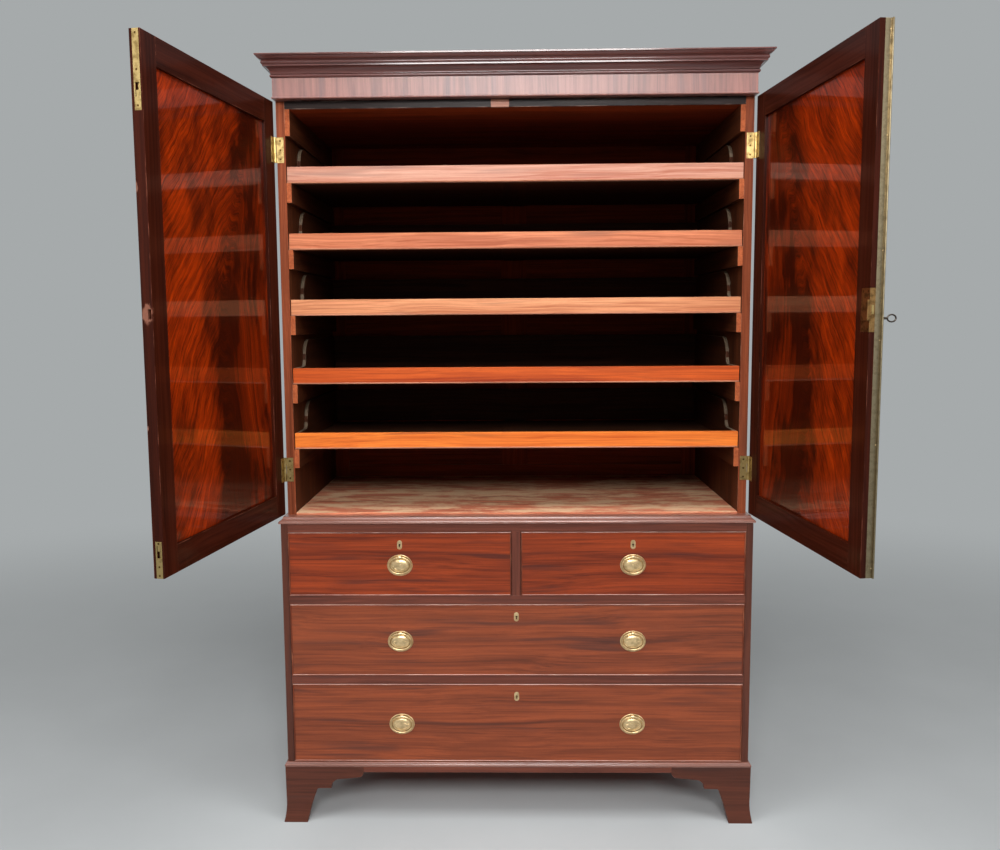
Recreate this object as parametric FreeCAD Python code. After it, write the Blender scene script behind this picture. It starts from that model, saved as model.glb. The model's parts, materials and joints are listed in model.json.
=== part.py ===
import FreeCAD, Part

import math
import os

# A mahogany linen press: sliding trays behind two panelled doors, on a chest of drawers with
# bracket feet. Each physical piece is a solid of its own, and each node is written as one STEP file.
#
# Millimetres. X runs to the right, Y to the back and Z up. The origin is on the floor, midway
# across, in the plane of the shut doors' front faces. The doors are drawn standing open, with the
# trays and drawers in and the bolts drawn back.

V = FreeCAD.Vector

# ---------------------------------------------------------------- upper case
upper_width = 1220.0
upper_height = 1092.0
inner_depth = 560.0
side_thickness = 22.0
top_thickness = 20.0
floor_thickness = 22.0
patch_width = 46.0
patch_depth = 10.0
patch_offset = -36.0

back_thickness = 16.0
back_rebate = 8.0
back_stile_width = 53.0
back_muntin_width = 83.0
back_bottom_rail = 59.0
back_middle_rail = 70.0
back_top_rail = 84.0
back_panel_thickness = 8.0

# ---------------------------------------------------------------- chest of drawers
chest_overhang = 12.5
chest_step = 10.0
chest_side = 18.0
chest_floor = 13.0
chest_top = 18.0
chest_back = 12.0
chest_back_rebate = 9.0
chest_back_boards = 3
rail_thickness = 23.0
rail_depth = 60.0
muntin_width = 24.0
short_row_height = 173.0
middle_row_height = 197.0
bottom_row_height = 218.0
drawer_runner_width = 20.0
centre_runner_width = 64.0
guide_height = 30.0
dust_board_thickness = 8.0

# ---------------------------------------------------------------- feet and mouldings
foot_height = 156.0
foot_length = 206.5
foot_thickness = 20.0
foot_splay = 6.0
foot_lean = 1.0
# Where the feet's curves start, bend and end, as shares of the splay and of a foot's height and length.
splay_start = 0.45
splay_bend_out = 0.1
splay_bend_height = 0.18
rear_foot_sole = 0.4
rear_foot_bend = 0.55
rear_foot_bend_height = 0.5
rear_foot_top = 0.85
rear_foot_length = 125.0
rear_foot_thickness = 18.0
glue_block = 32.0
glue_block_lift = 4.0
plinth_height = 16.0
base_height = 12.0
base_projection = 6.5
waist_height = 17.0
waist_projection = 5.0
frieze_height = 51.0
frieze_thickness = 20.0
frieze_step = 2.0
frieze_overhang = 1.0
frieze_bead = 2.5
cornice_height = 52.0
cornice_projection = 34.5
dust_top_thickness = 10.0
dust_top_drop = 8.0

# ---------------------------------------------------------------- trays
# The drops are from the case's ceiling to the trays' undersides.
tray_1_drop = 185.0
tray_2_drop = 355.0
tray_3_drop = 526.0
tray_4_drop = 706.0
tray_5_drop = 879.0
tray_inset = 8.0
tray_back_gap = 12.0
tray_front_height = 42.0
tray_front_thickness = 16.0
tray_side_height = 115.0
tray_side_thickness = 9.0
tray_bottom_thickness = 8.0
tray_bottom_lift = 3.0
tray_muntin_width = 66.0
tray_muntin_thickness = 13.0
tray_muntin_lift = 1.0
tray_back_lift = 1.0
tray_tail_lap = 9.6
tray_bead = 2.0
scoop_start = 95.0
scoop_cove = 20.0
runner_width = 12.5
runner_height = 50.0
kicker_gap = 3.0

# ---------------------------------------------------------------- drawers
drawer_back_gap = 28.0
drawer_front_thickness = 20.0
drawer_side_thickness = 9.0
drawer_side_drop = 4.0
drawer_bottom_thickness = 8.0
drawer_bottom_lift = 10.0
drawer_back_drop = 10.0
cockbead_thickness = 3.0
cockbead_depth = 8.0
cockbead_proud = 2.5
tail_pitch = 56.0
tail_lap = 12.0
tail_narrow = 0.3
tail_wide = 0.4

# ---------------------------------------------------------------- doors
door_thickness = 23.0
stile_width = 54.0
door_rail_width = 58.0
panel_thickness = 8.0
panel_recess = 7.5
panel_tongue = 8.0
left_open = 99.0
right_open = 96.0
astragal_width = 9.0
astragal_height = 4.8
astragal_flange = 12.0
astragal_flange_thickness = 1.2

hinge_length = 64.0
hinge_inset = 120.0
hinge_knuckles = 3
leaf_width = 18.0
leaf_thickness = 1.8
knuckle_radius = 4.0
hinge_pin_radius = 1.5

# ---------------------------------------------------------------- brass and locks
bolt_plate_width = 14.0
bolt_plate_thickness = 2.0
top_bolt_plate = 152.0
bottom_bolt_plate = 76.0
bolt_window_width = 8.0
bolt_window_height = 26.0
bottom_bolt_margin = 8.0
bolt_radius = 3.0
bolt_depth = 7.5
bolt_throw = 12.0
bolt_knob_height = 12.0
bolt_knob_reach = 6.4

door_lock_height = 85.0
door_lock_width = 34.0
door_lock_plate = 2.0
door_lock_box = 51.0
door_lock_box_width = 28.0
door_lock_box_depth = 11.0
door_lock_wall = 1.0
door_lock_floor = 2.0
door_lock_cap_height = 40.0
door_lock_cap = 4.0
door_lock_drop = 6.0
door_bolt_height = 18.0
door_bolt_thickness = 5.0
door_bolt_throw = 8.0
key_from_edge = 18.0
key_below_lock = 16.0
key_radius = 2.5
key_length = 21.0
key_bow_length = 21.0
key_bow_height = 17.5
key_bow_wire = 3.4
key_bit = 6.3
key_bit_width = 5.0
key_bit_thickness = 1.8
key_room = 0.7

drawer_lock_width = 50.0
drawer_lock_height = 50.0
drawer_lock_depth = 9.0
drawer_bolt_width = 18.0
drawer_bolt_thickness = 4.0
drawer_bolt_length = 22.0
drawer_bolt_throw = 8.0
escutcheon_height = 24.5
escutcheon_width = 13.0
escutcheon_thickness = 2.0
escutcheon_proud = 0.4
keyhole_drop = 34.0
keyhole_slot = 7.0

handle_from_middle = 310.0
handle_drop = 3.0
plate_half_width = 34.0
plate_half_height = 28.5
plate_end_radius = 24.0
plate_thickness = 1.5
boss_half_width = 25.0
boss_half_height = 18.0
boss_end_radius = 14.5
boss_height = 6.0
boss_slope = 4.5
ring_half_width = 29.5
ring_half_height = 22.5
ring_wire = 2.4
loop_steps = 16
loop_sides = 6
ring_pin_radius = 2.0
ring_pin_lap = 1.0
ring_standoff = 5.0
lug_width = 9.0
lug_radius = 4.5
post_radius = 3.0
nut_radius = 6.5
nut_sides = 6
nut_thickness = 4.0

# ---------------------------------------------------------------- clearances
seat_gap = 0.3
tray_gap = 0.5
drawer_gap = 1.0
drawer_top_gap = 1.2
door_gap = 1.0
door_end_gap = 2.0
meeting_gap = 2.0
leaf_gap = 0.2
knuckle_gap = 0.2
knuckle_clearance = 0.5
bolt_gap = 0.2
socket_spare = 2.0
mortise_room = 1.0
pin_gap = 0.1
panel_gap = 0.5

# How far a cutting block runs past what it cuts.
cut_over = 5.0

# ---------------------------------------------------------------- places that follow
case_y = door_thickness + door_gap
back_y = case_y + inner_depth + back_thickness
case_half = upper_width / 2
case_inner = case_half - side_thickness
chest_y = -chest_step
chest_half = case_half + chest_overhang
chest_inner = chest_half - chest_side
chest_z = foot_height
chest_back_y = back_y - chest_back
row_heights = (short_row_height, middle_row_height, bottom_row_height)
upper_z = chest_z + chest_floor + sum(row_heights) + rail_thickness * len(row_heights)
case_top = upper_z + upper_height
case_floor = upper_z + floor_thickness
case_ceiling = case_top - top_thickness
tray_drops = (tray_1_drop, tray_2_drop, tray_3_drop, tray_4_drop, tray_5_drop)
tray_levels = [case_ceiling - case_floor - drop for drop in tray_drops]
panel_back_y = case_y + inner_depth
door_bottom = upper_z + waist_height + door_end_gap
door_top = case_top - door_end_gap
door_edge = meeting_gap / 2
axis_x = case_half + knuckle_radius + knuckle_clearance
axis_y = door_thickness + door_gap / 2
bolt_x = door_edge + bolt_depth
bolt_y = door_thickness / 2 + 1
tray_y = case_y + tray_inset
tray_rear = panel_back_y - tray_back_gap
lock_middle = (door_top + door_bottom) / 2 - door_lock_drop
keyhole_radius = key_radius + pin_gap


# ---------------------------------------------------------------- shapes
def board(x, y, z):
    """A plain board. x, y and z are its (low, high) ends."""
    return Part.makeBox(x[1] - x[0], y[1] - y[0], z[1] - z[0], V(x[0], y[0], z[0]))


def grown(x, y, z, edge):
    """A board that reaches past its x and z by the same edge all round."""
    return board((x[0] - edge, x[1] + edge), y, (z[0] - edge, z[1] + edge))


def rod(radius, start, end):
    """A round bar between two points."""
    way = V(*end) - V(*start)
    return Part.makeCylinder(radius, way.Length, V(*start), way)


def outline(place, start, *steps):
    """A face with a closed outline. A step is a corner, or a pair: a point on the arc and its end."""
    edges = []
    here = start
    for step in steps + (start,):
        if isinstance(step[0], tuple):
            through, end = step
            edges.append(Part.Arc(place(*here), place(*through), place(*end)).toShape())
        else:
            end = step
            edges.append(Part.makeLine(place(*here), place(*end)))
        here = end
    return Part.Face(Part.Wire(edges))


def upright(plan, low, high):
    """A block with vertical sides over a plan of (x, y) corners."""
    face = outline(lambda x, y: V(x, y, low), *plan)
    return face.extrude(V(0, 0, high - low))


def flipped(shape):
    """The same piece on the other side of the middle."""
    return shape.mirror(V(0, 0, 0), V(1, 0, 0))


def both(*shapes):
    """Each piece and its mirror image."""
    return [piece for shape in shapes for piece in (shape, flipped(shape))]


def cut_all(pieces, *cutters):
    """The pieces with every cutter taken out of them."""
    whole = Part.makeCompound(cutters)
    return [piece.cut(whole) if piece.distToShape(whole)[0] < 1e-6 else piece for piece in pieces]


def oval_arcs(half_width, half_height, end_radius):
    """An oval of four arcs, as (centre u, centre v, radius, first angle, last angle)."""
    flat_radius = half_width**2 + half_height**2 - 2 * half_width * end_radius
    flat_radius /= 2 * (half_height - end_radius)
    u = half_width - end_radius
    v = flat_radius - half_height
    turn = math.degrees(math.atan2(v, u))
    return [
        (u, 0, end_radius, -turn, turn),
        (0, -v, flat_radius, turn, 180 - turn),
        (-u, 0, end_radius, 180 - turn, 180 + turn),
        (0, v, flat_radius, 180 + turn, 360 - turn),
    ]


def oval(half_width, half_height, end_radius, x, y, z):
    """An upright oval face, looking forward."""
    edges = []
    for u, v, radius, first, last in oval_arcs(half_width, half_height, end_radius):
        circle = Part.Circle(V(x + u, y, z + v), V(0, -1, 0), radius)
        circle.XAxis = V(1, 0, 0)
        edges.append(circle.toShape(math.radians(first), math.radians(last)))
    return Part.Face(Part.Wire(edges))


def around(section, half, front, back, front_seat, side_seat, reach):
    """A moulding round the front and sides of a box, in three lengths with mitred front corners.

    section draws the profile: distance out from the box's faces, and height. The seats are how
    far the lengths reach in behind those faces, and reach is more than the profile stands out.
    """
    inner = half - side_seat
    mitre = [(half + reach, front - reach), (inner, front + side_seat)]
    front_plan = mitre + [(inner, front + front_seat), (-inner, front + front_seat)]
    front_plan += [(-x, y) for x, y in reversed(mitre)]
    if front_seat == side_seat:
        front_plan = mitre + [(-x, y) for x, y in reversed(mitre)]
    side_plan = [mitre[0], (half + reach, back), (inner, back), mitre[1]]
    across = section(lambda out, z: V(-half - reach, front - out, z))
    across = across.extrude(V(2 * (half + reach), 0, 0))
    along = section(lambda out, z: V(half + out, front - reach, z))
    along = along.extrude(V(0, back - front + reach, 0))
    low, high = across.BoundBox.ZMin - cut_over, across.BoundBox.ZMax + cut_over
    side = along.common(upright(side_plan, low, high))
    return [across.common(upright(front_plan, low, high))] + both(side)


def strips(x, z, y, width, nose):
    """Four mitred strips just inside an upright rectangle, with a rounded edge facing forward."""
    corners = [(x[0], z[0]), (x[1], z[0]), (x[1], z[1]), (x[0], z[1])]
    inside = [(x[0] + width, z[0] + width), (x[1] - width, z[0] + width)]
    inside += [(x[1] - width, z[1] - width), (x[0] + width, z[1] - width)]
    made = []
    for i in range(4):
        j = (i + 1) % 4
        plan = [corners[i], corners[j], inside[j], inside[i]]
        face = outline(lambda u, w: V(u, y[0], w), *plan)
        bar = face.extrude(V(0, y[1] - y[0], 0))
        middle = [[(a + b) / 2 for a, b in zip(corners[k], inside[k])] for k in (i, j)]
        rounded = nose(middle[0], middle[1])
        made.append(bar.common(rounded))
    return made


def write(node, *pieces):
    """One STEP file for a node, from its separate solids."""
    solids = [solid for piece in pieces for solid in piece.Solids]
    shape = solids[0] if len(solids) == 1 else Part.makeCompound(solids)
    shape.exportStep(os.path.join("parts", node + ".step"))
    print("%-28s %2d solids" % (node, len(solids)))


# ---------------------------------------------------------------- upper case
def hinge_heights():
    """The middles of a door's two hinges."""
    return (door_bottom + hinge_inset, door_top - hinge_inset)


def leaf_recesses():
    """The shallow beds for the hinge leaves, in the right side's front edge."""
    x = (case_half - leaf_width, case_half)
    y = (case_y, axis_y + leaf_gap / 2 + leaf_thickness)
    return [board(x, y, (z - hinge_length / 2, z + hinge_length / 2)) for z in hinge_heights()]


def upper_sides():
    side = board((case_inner, case_half), (case_y, back_y), (upper_z, case_top))
    rebate = board((case_inner, case_inner + back_rebate), (panel_back_y, back_y), (upper_z, case_top))
    return both(side.cut(rebate).cut(Part.makeCompound(leaf_recesses())))


def upper_top():
    top = board((-case_inner, case_inner), (case_y, panel_back_y), (case_ceiling, case_top))
    x = (patch_offset - patch_width / 2, patch_offset + patch_width / 2)
    patch = board(x, (case_y, case_y + patch_depth), (case_ceiling, case_top))
    return [top.cut(patch), patch]


def upper_back():
    """The back's frame of stiles, muntin and rails, and the four panels in its grooves."""
    y = (panel_back_y, back_y)
    edge = case_inner + back_rebate
    inner = edge - back_stile_width
    half = back_muntin_width / 2
    low = upper_z + back_bottom_rail
    high = case_top - back_top_rail
    middle = (low + high) / 2
    halves = (middle - back_middle_rail / 2, middle + back_middle_rail / 2)
    frame = both(board((inner, edge), y, (upper_z, case_top)))
    frame.append(board((-inner, inner), y, (upper_z, low)))
    frame.append(board((-inner, inner), y, (high, case_top)))
    frame.append(board((-half, half), y, (low, high)))
    frame += both(board((half, inner), y, halves))
    near = y[0] + (back_thickness - back_panel_thickness) / 2
    depth = (near, near + back_panel_thickness)
    grooves, panels = [], []
    for z in ((low, halves[0]), (halves[1], high)):
        grooves += both(grown((half, inner), depth, z, panel_tongue))
        panels += both(grown((half, inner), depth, z, panel_tongue - panel_gap))
    return cut_all(frame, *grooves), panels


def tray_runners():
    """A runner under each end of each tray, and a kicker above the top one."""
    x = (case_inner - runner_width, case_inner)
    y = (case_y + seat_gap, panel_back_y)
    runners = []
    for level in tray_levels:
        top = case_floor + level
        runners += both(board(x, y, (top - runner_height, top)))
    low = case_floor + tray_levels[0] + tray_side_height + kicker_gap
    return runners + both(board(x, y, (low, case_ceiling)))


# ---------------------------------------------------------------- mouldings
def frieze_section(place):
    low = case_top
    bead = 2 * frieze_bead
    return outline(
        place,
        (-frieze_thickness, low),
        (0, low),
        ((frieze_bead, low + frieze_bead), (0, low + bead)),
        (0, low + frieze_height),
        (-frieze_thickness, low + frieze_height),
    )


def in_parts(place, low, across, up):
    """The same placing for a section that is set out in parts of a moulding's width and height."""
    return lambda out, rise: place(out * across, low + rise * up)


def cornice_section(place):
    """Bead, cove, fillet, half-round and a cyma under the top fillet: 69 parts wide and 104 high."""
    across, up = cornice_projection / 69, cornice_height / 104
    seat = -frieze_thickness / across
    return outline(
        in_parts(place, case_top + frieze_height, across, up),
        (seat, 0),
        (0, 0),
        ((9, 9), (1, 18)),
        (6, 19),
        ((13, 39), (30, 50)),
        (37, 50),
        (37, 58),
        (40, 58),
        ((44, 67), (40, 76)),
        (43, 79),
        ((52, 83), (60, 90)),
        ((64, 95), (69, 97)),
        (69, 104),
        (seat, 104),
    )


def waist_section(place):
    """Half-round below, a small step and a cove above: 34 parts high."""
    part = waist_height / 34
    seat = -(chest_step + case_y) / part
    out = waist_projection / part
    return outline(
        in_parts(place, upper_z, part, part),
        (seat, 0),
        (out, 0),
        (out, 5),
        ((out - 3, 13), (out - 9, 16)),
        (out - 12, 16),
        (out - 12, 19),
        ((out - 19, 25), (out - 21, 32)),
        (out - 21, 34),
        (seat, 34),
    )


def base_section(place):
    """Two half-round beads, the lower one larger: 24 parts high."""
    part = base_height / 24
    out = base_projection / part
    return outline(
        in_parts(place, chest_z, part, part),
        (0, 0),
        (out, 0),
        ((out + 2, 7), (out - 1, 14)),
        (out - 3, 15),
        ((out - 3, 19), (out - 7, 22)),
        (0, 24),
    )


def frieze_front():
    return -frieze_step


def cornice_back_rail():
    """The rail that ties the cornice's two sides at the back."""
    half = case_half + frieze_overhang - frieze_thickness
    return board((-half, half), (back_y - frieze_thickness, back_y), (case_top, case_top + frieze_height))


def cornice_dust_top():
    """The thin board that closes the top, let in between the cornice's mouldings."""
    half = case_half + frieze_overhang - frieze_thickness
    high = case_top + frieze_height + cornice_height - dust_top_drop
    y = (frieze_front() + frieze_thickness, back_y)
    return board((-half, half), y, (high - dust_top_thickness, high))


def cornice_battens():
    """Battens inside the cornice that carry the dust board."""
    half = case_half + frieze_overhang - frieze_thickness
    high = case_top + frieze_height + cornice_height - dust_top_drop - dust_top_thickness
    y = (frieze_front() + frieze_thickness, back_y)
    return both(board((half - frieze_thickness, half), y, (high - frieze_thickness, high)))


def bolt_sockets():
    """The holes that the left door's two bolts shoot into."""
    radius = bolt_radius + 1
    depth = bolt_throw + socket_spare
    foot = upper_z + waist_height
    high = rod(radius, (-bolt_x, bolt_y, case_top), (-bolt_x, bolt_y, case_top + depth))
    low = rod(radius, (-bolt_x, bolt_y, foot), (-bolt_x, bolt_y, foot - depth))
    return high, low


# ---------------------------------------------------------------- chest of drawers
def row_levels():
    """The (low, high) of each row's opening, from the top row down."""
    rows = []
    high = upper_z - rail_thickness
    for height in row_heights:
        rows.append((high - height, high))
        high -= height + rail_thickness
    return rows


def lock_mortise(x, high):
    """The slot above a drawer lock, in the rail over it."""
    half = drawer_bolt_width / 2 + drawer_gap
    y = lock_bolt_y()
    depth = drawer_bolt_throw + socket_spare
    return board((x - half, x + half), (y[0] - mortise_room, y[1] + mortise_room), (high, high + depth))


def lock_bolt_y():
    middle = chest_y + drawer_front_thickness - drawer_lock_depth / 2
    return (middle - drawer_bolt_thickness / 2, middle + drawer_bolt_thickness / 2)


def short_drawer_middle():
    """The distance from the middle of the chest to the middle of a short drawer."""
    return (chest_inner + muntin_width / 2) / 2


def chest_sides():
    side = board((chest_inner, chest_half), (chest_y, back_y), (chest_z, upper_z))
    rebate = board((chest_inner, chest_inner + chest_back_rebate), (chest_back_y, back_y), (chest_z, upper_z))
    return both(side.cut(rebate))


def drawer_rails():
    """The rail over each row, with the slot for each lock's bolt."""
    x = (-chest_inner, chest_inner)
    y = (chest_y, chest_y + rail_depth)
    middle = short_drawer_middle()
    rails = []
    for row, locks in zip(row_levels(), ((-middle, middle), (0,), (0,))):
        high = row[1]
        rail = board(x, y, (high, high + rail_thickness))
        rails.append(rail.cut(Part.makeCompound([lock_mortise(lock, high) for lock in locks])))
    return rails


def drawer_runners():
    """Runners behind the rails, kickers over the short drawers, and the guide between them."""
    edge = (chest_inner - drawer_runner_width, chest_inner)
    middle = (-centre_runner_width / 2, centre_runner_width / 2)
    y = (chest_y + rail_depth, chest_back_y)
    rows = row_levels()
    pieces = []
    for row in rows[:2]:
        pieces += both(board(edge, y, (row[0] - rail_thickness, row[0])))
    pieces.append(board(middle, y, (rows[0][0] - rail_thickness, rows[0][0])))
    guide = (-muntin_width / 2, muntin_width / 2)
    pieces.append(board(guide, y, (rows[0][0], rows[0][0] + guide_height)))
    kicker = (rows[0][1], upper_z - chest_top)
    pieces += both(board(edge, y, kicker))
    pieces.append(board(middle, y, kicker))
    return pieces


def dust_boards():
    """Thin boards between the rows of drawers, held by the runners."""
    edge = chest_inner - drawer_runner_width
    y = (chest_y + rail_depth, chest_back_y)
    rows = row_levels()
    lift = (rail_thickness - dust_board_thickness) / 2
    z = [(row[0] - rail_thickness + lift, row[0] - lift) for row in rows[:2]]
    boards = both(board((centre_runner_width / 2, edge), y, z[0]))
    return boards + [board((-edge, edge), y, z[1])]


def chest_back_pieces():
    """Boards that close the back, one above another."""
    half = chest_inner + chest_back_rebate
    step = (upper_z - chest_z) / chest_back_boards
    levels = [chest_z + step * i for i in range(chest_back_boards)]
    return [board((-half, half), (chest_back_y, back_y), (z, z + step)) for z in levels]


# ---------------------------------------------------------------- feet
def foot_section(place):
    """The bracket's thickness: its face runs down straight, then splays out to the floor."""
    out = base_projection
    return outline(
        place,
        (out - foot_thickness, foot_height),
        (out, foot_height),
        (out - foot_lean, foot_height * splay_start),
        ((out + foot_splay * splay_bend_out, foot_height * splay_bend_height), (out + foot_splay, 0)),
        (out - foot_thickness, 0),
    )


def bracket(place, outer):
    """A bracket's shaped elevation, in hundredths of its length from the corner and of its height."""
    across = foot_length / 100
    start = outer / across
    return outline(
        in_parts(place, 0, across, foot_height / 100),
        (start, 100),
        (start, 0),
        (25, 0),
        ((30, 27), (37, 54)),
        ((38, 58), (41, 60)),
        (57, 60.5),
        ((59, 70), (65, 76.3)),
        (92, 79.5),
        ((98, 83), (100, 90)),
        (100, 100),
    )


def front_foot():
    """The right front foot's two faces, mitred at the corner."""
    reach = foot_splay + base_projection + cut_over
    inner = foot_thickness - base_projection
    ends = (chest_half - foot_length, chest_half + reach)
    face = foot_section(lambda out, z: V(ends[0], chest_y - out, z)).extrude(V(ends[1] - ends[0], 0, 0))
    cutter = bracket(lambda u, z: V(chest_half - u, chest_y - reach, z), -reach)
    plan = [(ends[1], chest_y - reach), (chest_half - inner, chest_y + inner)]
    plan += [(ends[0], chest_y + inner), (ends[0], chest_y - reach)]
    face = face.common(cutter.extrude(V(0, reach + inner, 0))).common(upright(plan, 0, foot_height))
    run = (chest_y - reach, chest_y + foot_length)
    side = foot_section(lambda out, z: V(chest_half + out, run[0], z)).extrude(V(0, run[1] - run[0], 0))
    cutter = bracket(lambda u, z: V(chest_half - inner, chest_y + u, z), -reach)
    plan = [(ends[1], run[0]), (ends[1], run[1]), (chest_half - inner, run[1])]
    plan.append((chest_half - inner, chest_y + inner))
    side = side.common(cutter.extrude(V(reach + inner, 0, 0))).common(upright(plan, 0, foot_height))
    return face, side


def rear_foot():
    """The right rear foot: a shaped side bracket and a plain board behind it."""
    reach = foot_splay + base_projection + cut_over
    inner = foot_thickness - base_projection
    start = back_y - foot_length
    side = foot_section(lambda out, z: V(chest_half + out, start, z)).extrude(V(0, foot_length, 0))
    cutter = bracket(lambda u, z: V(chest_half - inner, back_y - u, z), 0)
    side = side.common(cutter.extrude(V(reach + inner, 0, 0)))
    edge = chest_half - inner
    bend = (rear_foot_length * rear_foot_bend, foot_height * rear_foot_bend_height)
    rear = outline(
        lambda u, z: V(edge - u, back_y, z),
        (0, foot_height),
        (0, 0),
        (rear_foot_length * rear_foot_sole, 0),
        (bend, (rear_foot_length, foot_height * rear_foot_top)),
        (rear_foot_length, foot_height),
    )
    return side, rear.extrude(V(0, -rear_foot_thickness, 0))


def glue_blocks():
    """Blocks in the feet's inner corners."""
    inner = foot_thickness - base_projection
    x = (chest_half - inner - glue_block, chest_half - inner)
    z = (glue_block_lift, foot_height)
    front = (chest_y + inner, chest_y + inner + glue_block)
    rear = (back_y - rear_foot_thickness - glue_block, back_y - rear_foot_thickness)
    return both(board(x, front, z), board(x, rear, z))


def plinth_strips():
    """Strips under the chest between the feet."""
    inner = foot_thickness - base_projection
    z = (foot_height - plinth_height, foot_height)
    half = chest_half - foot_length
    front = board((-half, half), (chest_y - base_projection, chest_y + inner), z)
    y = (chest_y + foot_length, back_y - foot_length)
    return [front] + both(board((chest_half - inner, chest_half + base_projection), y, z))


# ---------------------------------------------------------------- dovetailed boxes
def tails(x, shoulder, tip, z):
    """Dovetails on the end of a side board: a prism for each, wider at the tip."""
    count = max(1, round((z[1] - z[0]) / tail_pitch))
    pitch = (z[1] - z[0]) / count
    made = []
    for i in range(count):
        middle = z[0] + pitch * (i + 0.5)
        narrow, wide = tail_narrow * pitch, tail_wide * pitch
        plan = [(shoulder, middle - narrow), (shoulder, middle + narrow)]
        plan += [(tip, middle + wide), (tip, middle - wide)]
        face = outline(lambda y, w: V(x[0], y, w), *plan)
        made.append(face.extrude(V(x[1] - x[0], 0, 0)))
    return made


def tray(level):
    """One tray: its front, bead, sides, back, two bottom boards and the muntin between them."""
    low = case_floor + level + seat_gap
    half = case_inner - tray_gap
    inner = half - tray_side_thickness
    front_y = (tray_y, tray_y + tray_front_thickness)
    back = (tray_rear - tray_side_thickness, tray_rear)
    high = low + tray_side_height
    foot = low + tray_muntin_lift + tray_muntin_thickness + tray_back_lift
    lip = low + tray_front_height
    shoulder = tray_side_height - tray_front_height - scoop_cove
    start = tray_y + scoop_start
    turn = math.sqrt(0.5)
    rise = lip + scoop_cove
    side = outline(
        lambda y, z: V(inner, y, z),
        (front_y[1], low),
        (back[0], low),
        (back[0], high),
        (start + scoop_cove + shoulder, high),
        ((start + scoop_cove + shoulder * (1 - turn), rise + shoulder * turn), (start + scoop_cove, rise)),
        ((start + scoop_cove * turn, rise - scoop_cove * turn), (start, lip)),
        (front_y[1], lip),
    ).extrude(V(tray_side_thickness, 0, 0))
    x = (inner, half)
    front_tails = tails(x, front_y[1], front_y[1] - tray_tail_lap, (low, lip))
    back_tails = tails(x, back[0], back[1], (foot, high))
    side = side.multiFuse(front_tails + back_tails).removeSplitter()
    sides = both(side)
    joints = Part.makeCompound(both(*front_tails, *back_tails))
    front = board((-half, half), front_y, (low, lip)).cut(joints)
    end = board((-half, half), back, (foot, high)).cut(joints)
    bead = rod(tray_bead, (-half, front_y[0], low + tray_bead), (half, front_y[0], low + tray_bead))
    bead = bead.common(board((-half, half), (front_y[0] - tray_bead, front_y[0]), (low, low + 2 * tray_bead)))
    z = (low + tray_bottom_lift, low + tray_bottom_lift + tray_bottom_thickness)
    middle = tray_muntin_width / 2
    bottoms = both(board((middle, inner), (front_y[1], back[1]), z))
    z = (low + tray_muntin_lift, low + tray_muntin_lift + tray_muntin_thickness)
    muntin = board((-middle, middle), (front_y[1], back[1]), z)
    return [front, bead, end, muntin] + sides + bottoms


def cockbead(x, z):
    """The rounded bead let into the edges of a drawer front."""
    radius = cockbead_thickness / 2
    tip = chest_y - cockbead_proud

    def nose(a, b):
        bar = rod(radius, (a[0], tip + radius, a[1]), (b[0], tip + radius, b[1]))
        back = [sorted((a[k], b[k])) for k in (0, 1)]
        span = [(low - radius, high + radius) for low, high in back]
        return bar.fuse(board(span[0], (tip + radius, chest_y + cockbead_depth), span[1]))

    return strips(x, z, (tip, chest_y + cockbead_depth), cockbead_thickness, nose)


def keyhole(x, z, y):
    """A round hole with a slot below it."""
    hole = rod(keyhole_radius, (x, y[0], z), (x, y[1], z))
    half = keyhole_radius / 2
    return hole.fuse(board((x - half, x + half), y, (z - keyhole_slot, z)))


def escutcheon(x, z, face):
    """A brass keyhole plate with round ends, let into the wood: the bed for it, and the plate."""
    half = escutcheon_width / 2
    top = escutcheon_height / 2
    straight = top - half
    plate = outline(
        lambda u, v: V(x + u, face - escutcheon_proud, z + v),
        (half, straight),
        ((0, top), (-half, straight)),
        (-half, -straight),
        ((0, -top), (half, -straight)),
    ).extrude(V(0, escutcheon_thickness, 0))
    through = (face - escutcheon_proud, face - escutcheon_proud + escutcheon_thickness)
    return plate, plate.cut(keyhole(x, z, through))


def drawer_spans(opening_x, opening_z):
    """The front's (low, high) in X and Z inside its opening."""
    x = (opening_x[0] + drawer_gap, opening_x[1] - drawer_gap)
    z = (opening_z[0] + seat_gap, opening_z[1] - drawer_top_gap)
    return x, z


def drawer_lock(x, high):
    """A drawer lock at x, under a front's top edge: its bed, its case and its bolt."""
    back = chest_y + drawer_front_thickness
    half = drawer_lock_width / 2
    case = board((x - half, x + half), (back - drawer_lock_depth, back), (high - drawer_lock_height, high))
    half = drawer_bolt_width / 2
    y = lock_bolt_y()
    z = (high - seat_gap - drawer_bolt_length, high - seat_gap)
    bolt = board((x - half, x + half), y, z)
    way = board(
        (x - half - bolt_gap, x + half + bolt_gap),
        (y[0] - bolt_gap, y[1] + bolt_gap),
        (z[0] - bolt_gap, high),
    )
    return case, case.cut(way), bolt


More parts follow.
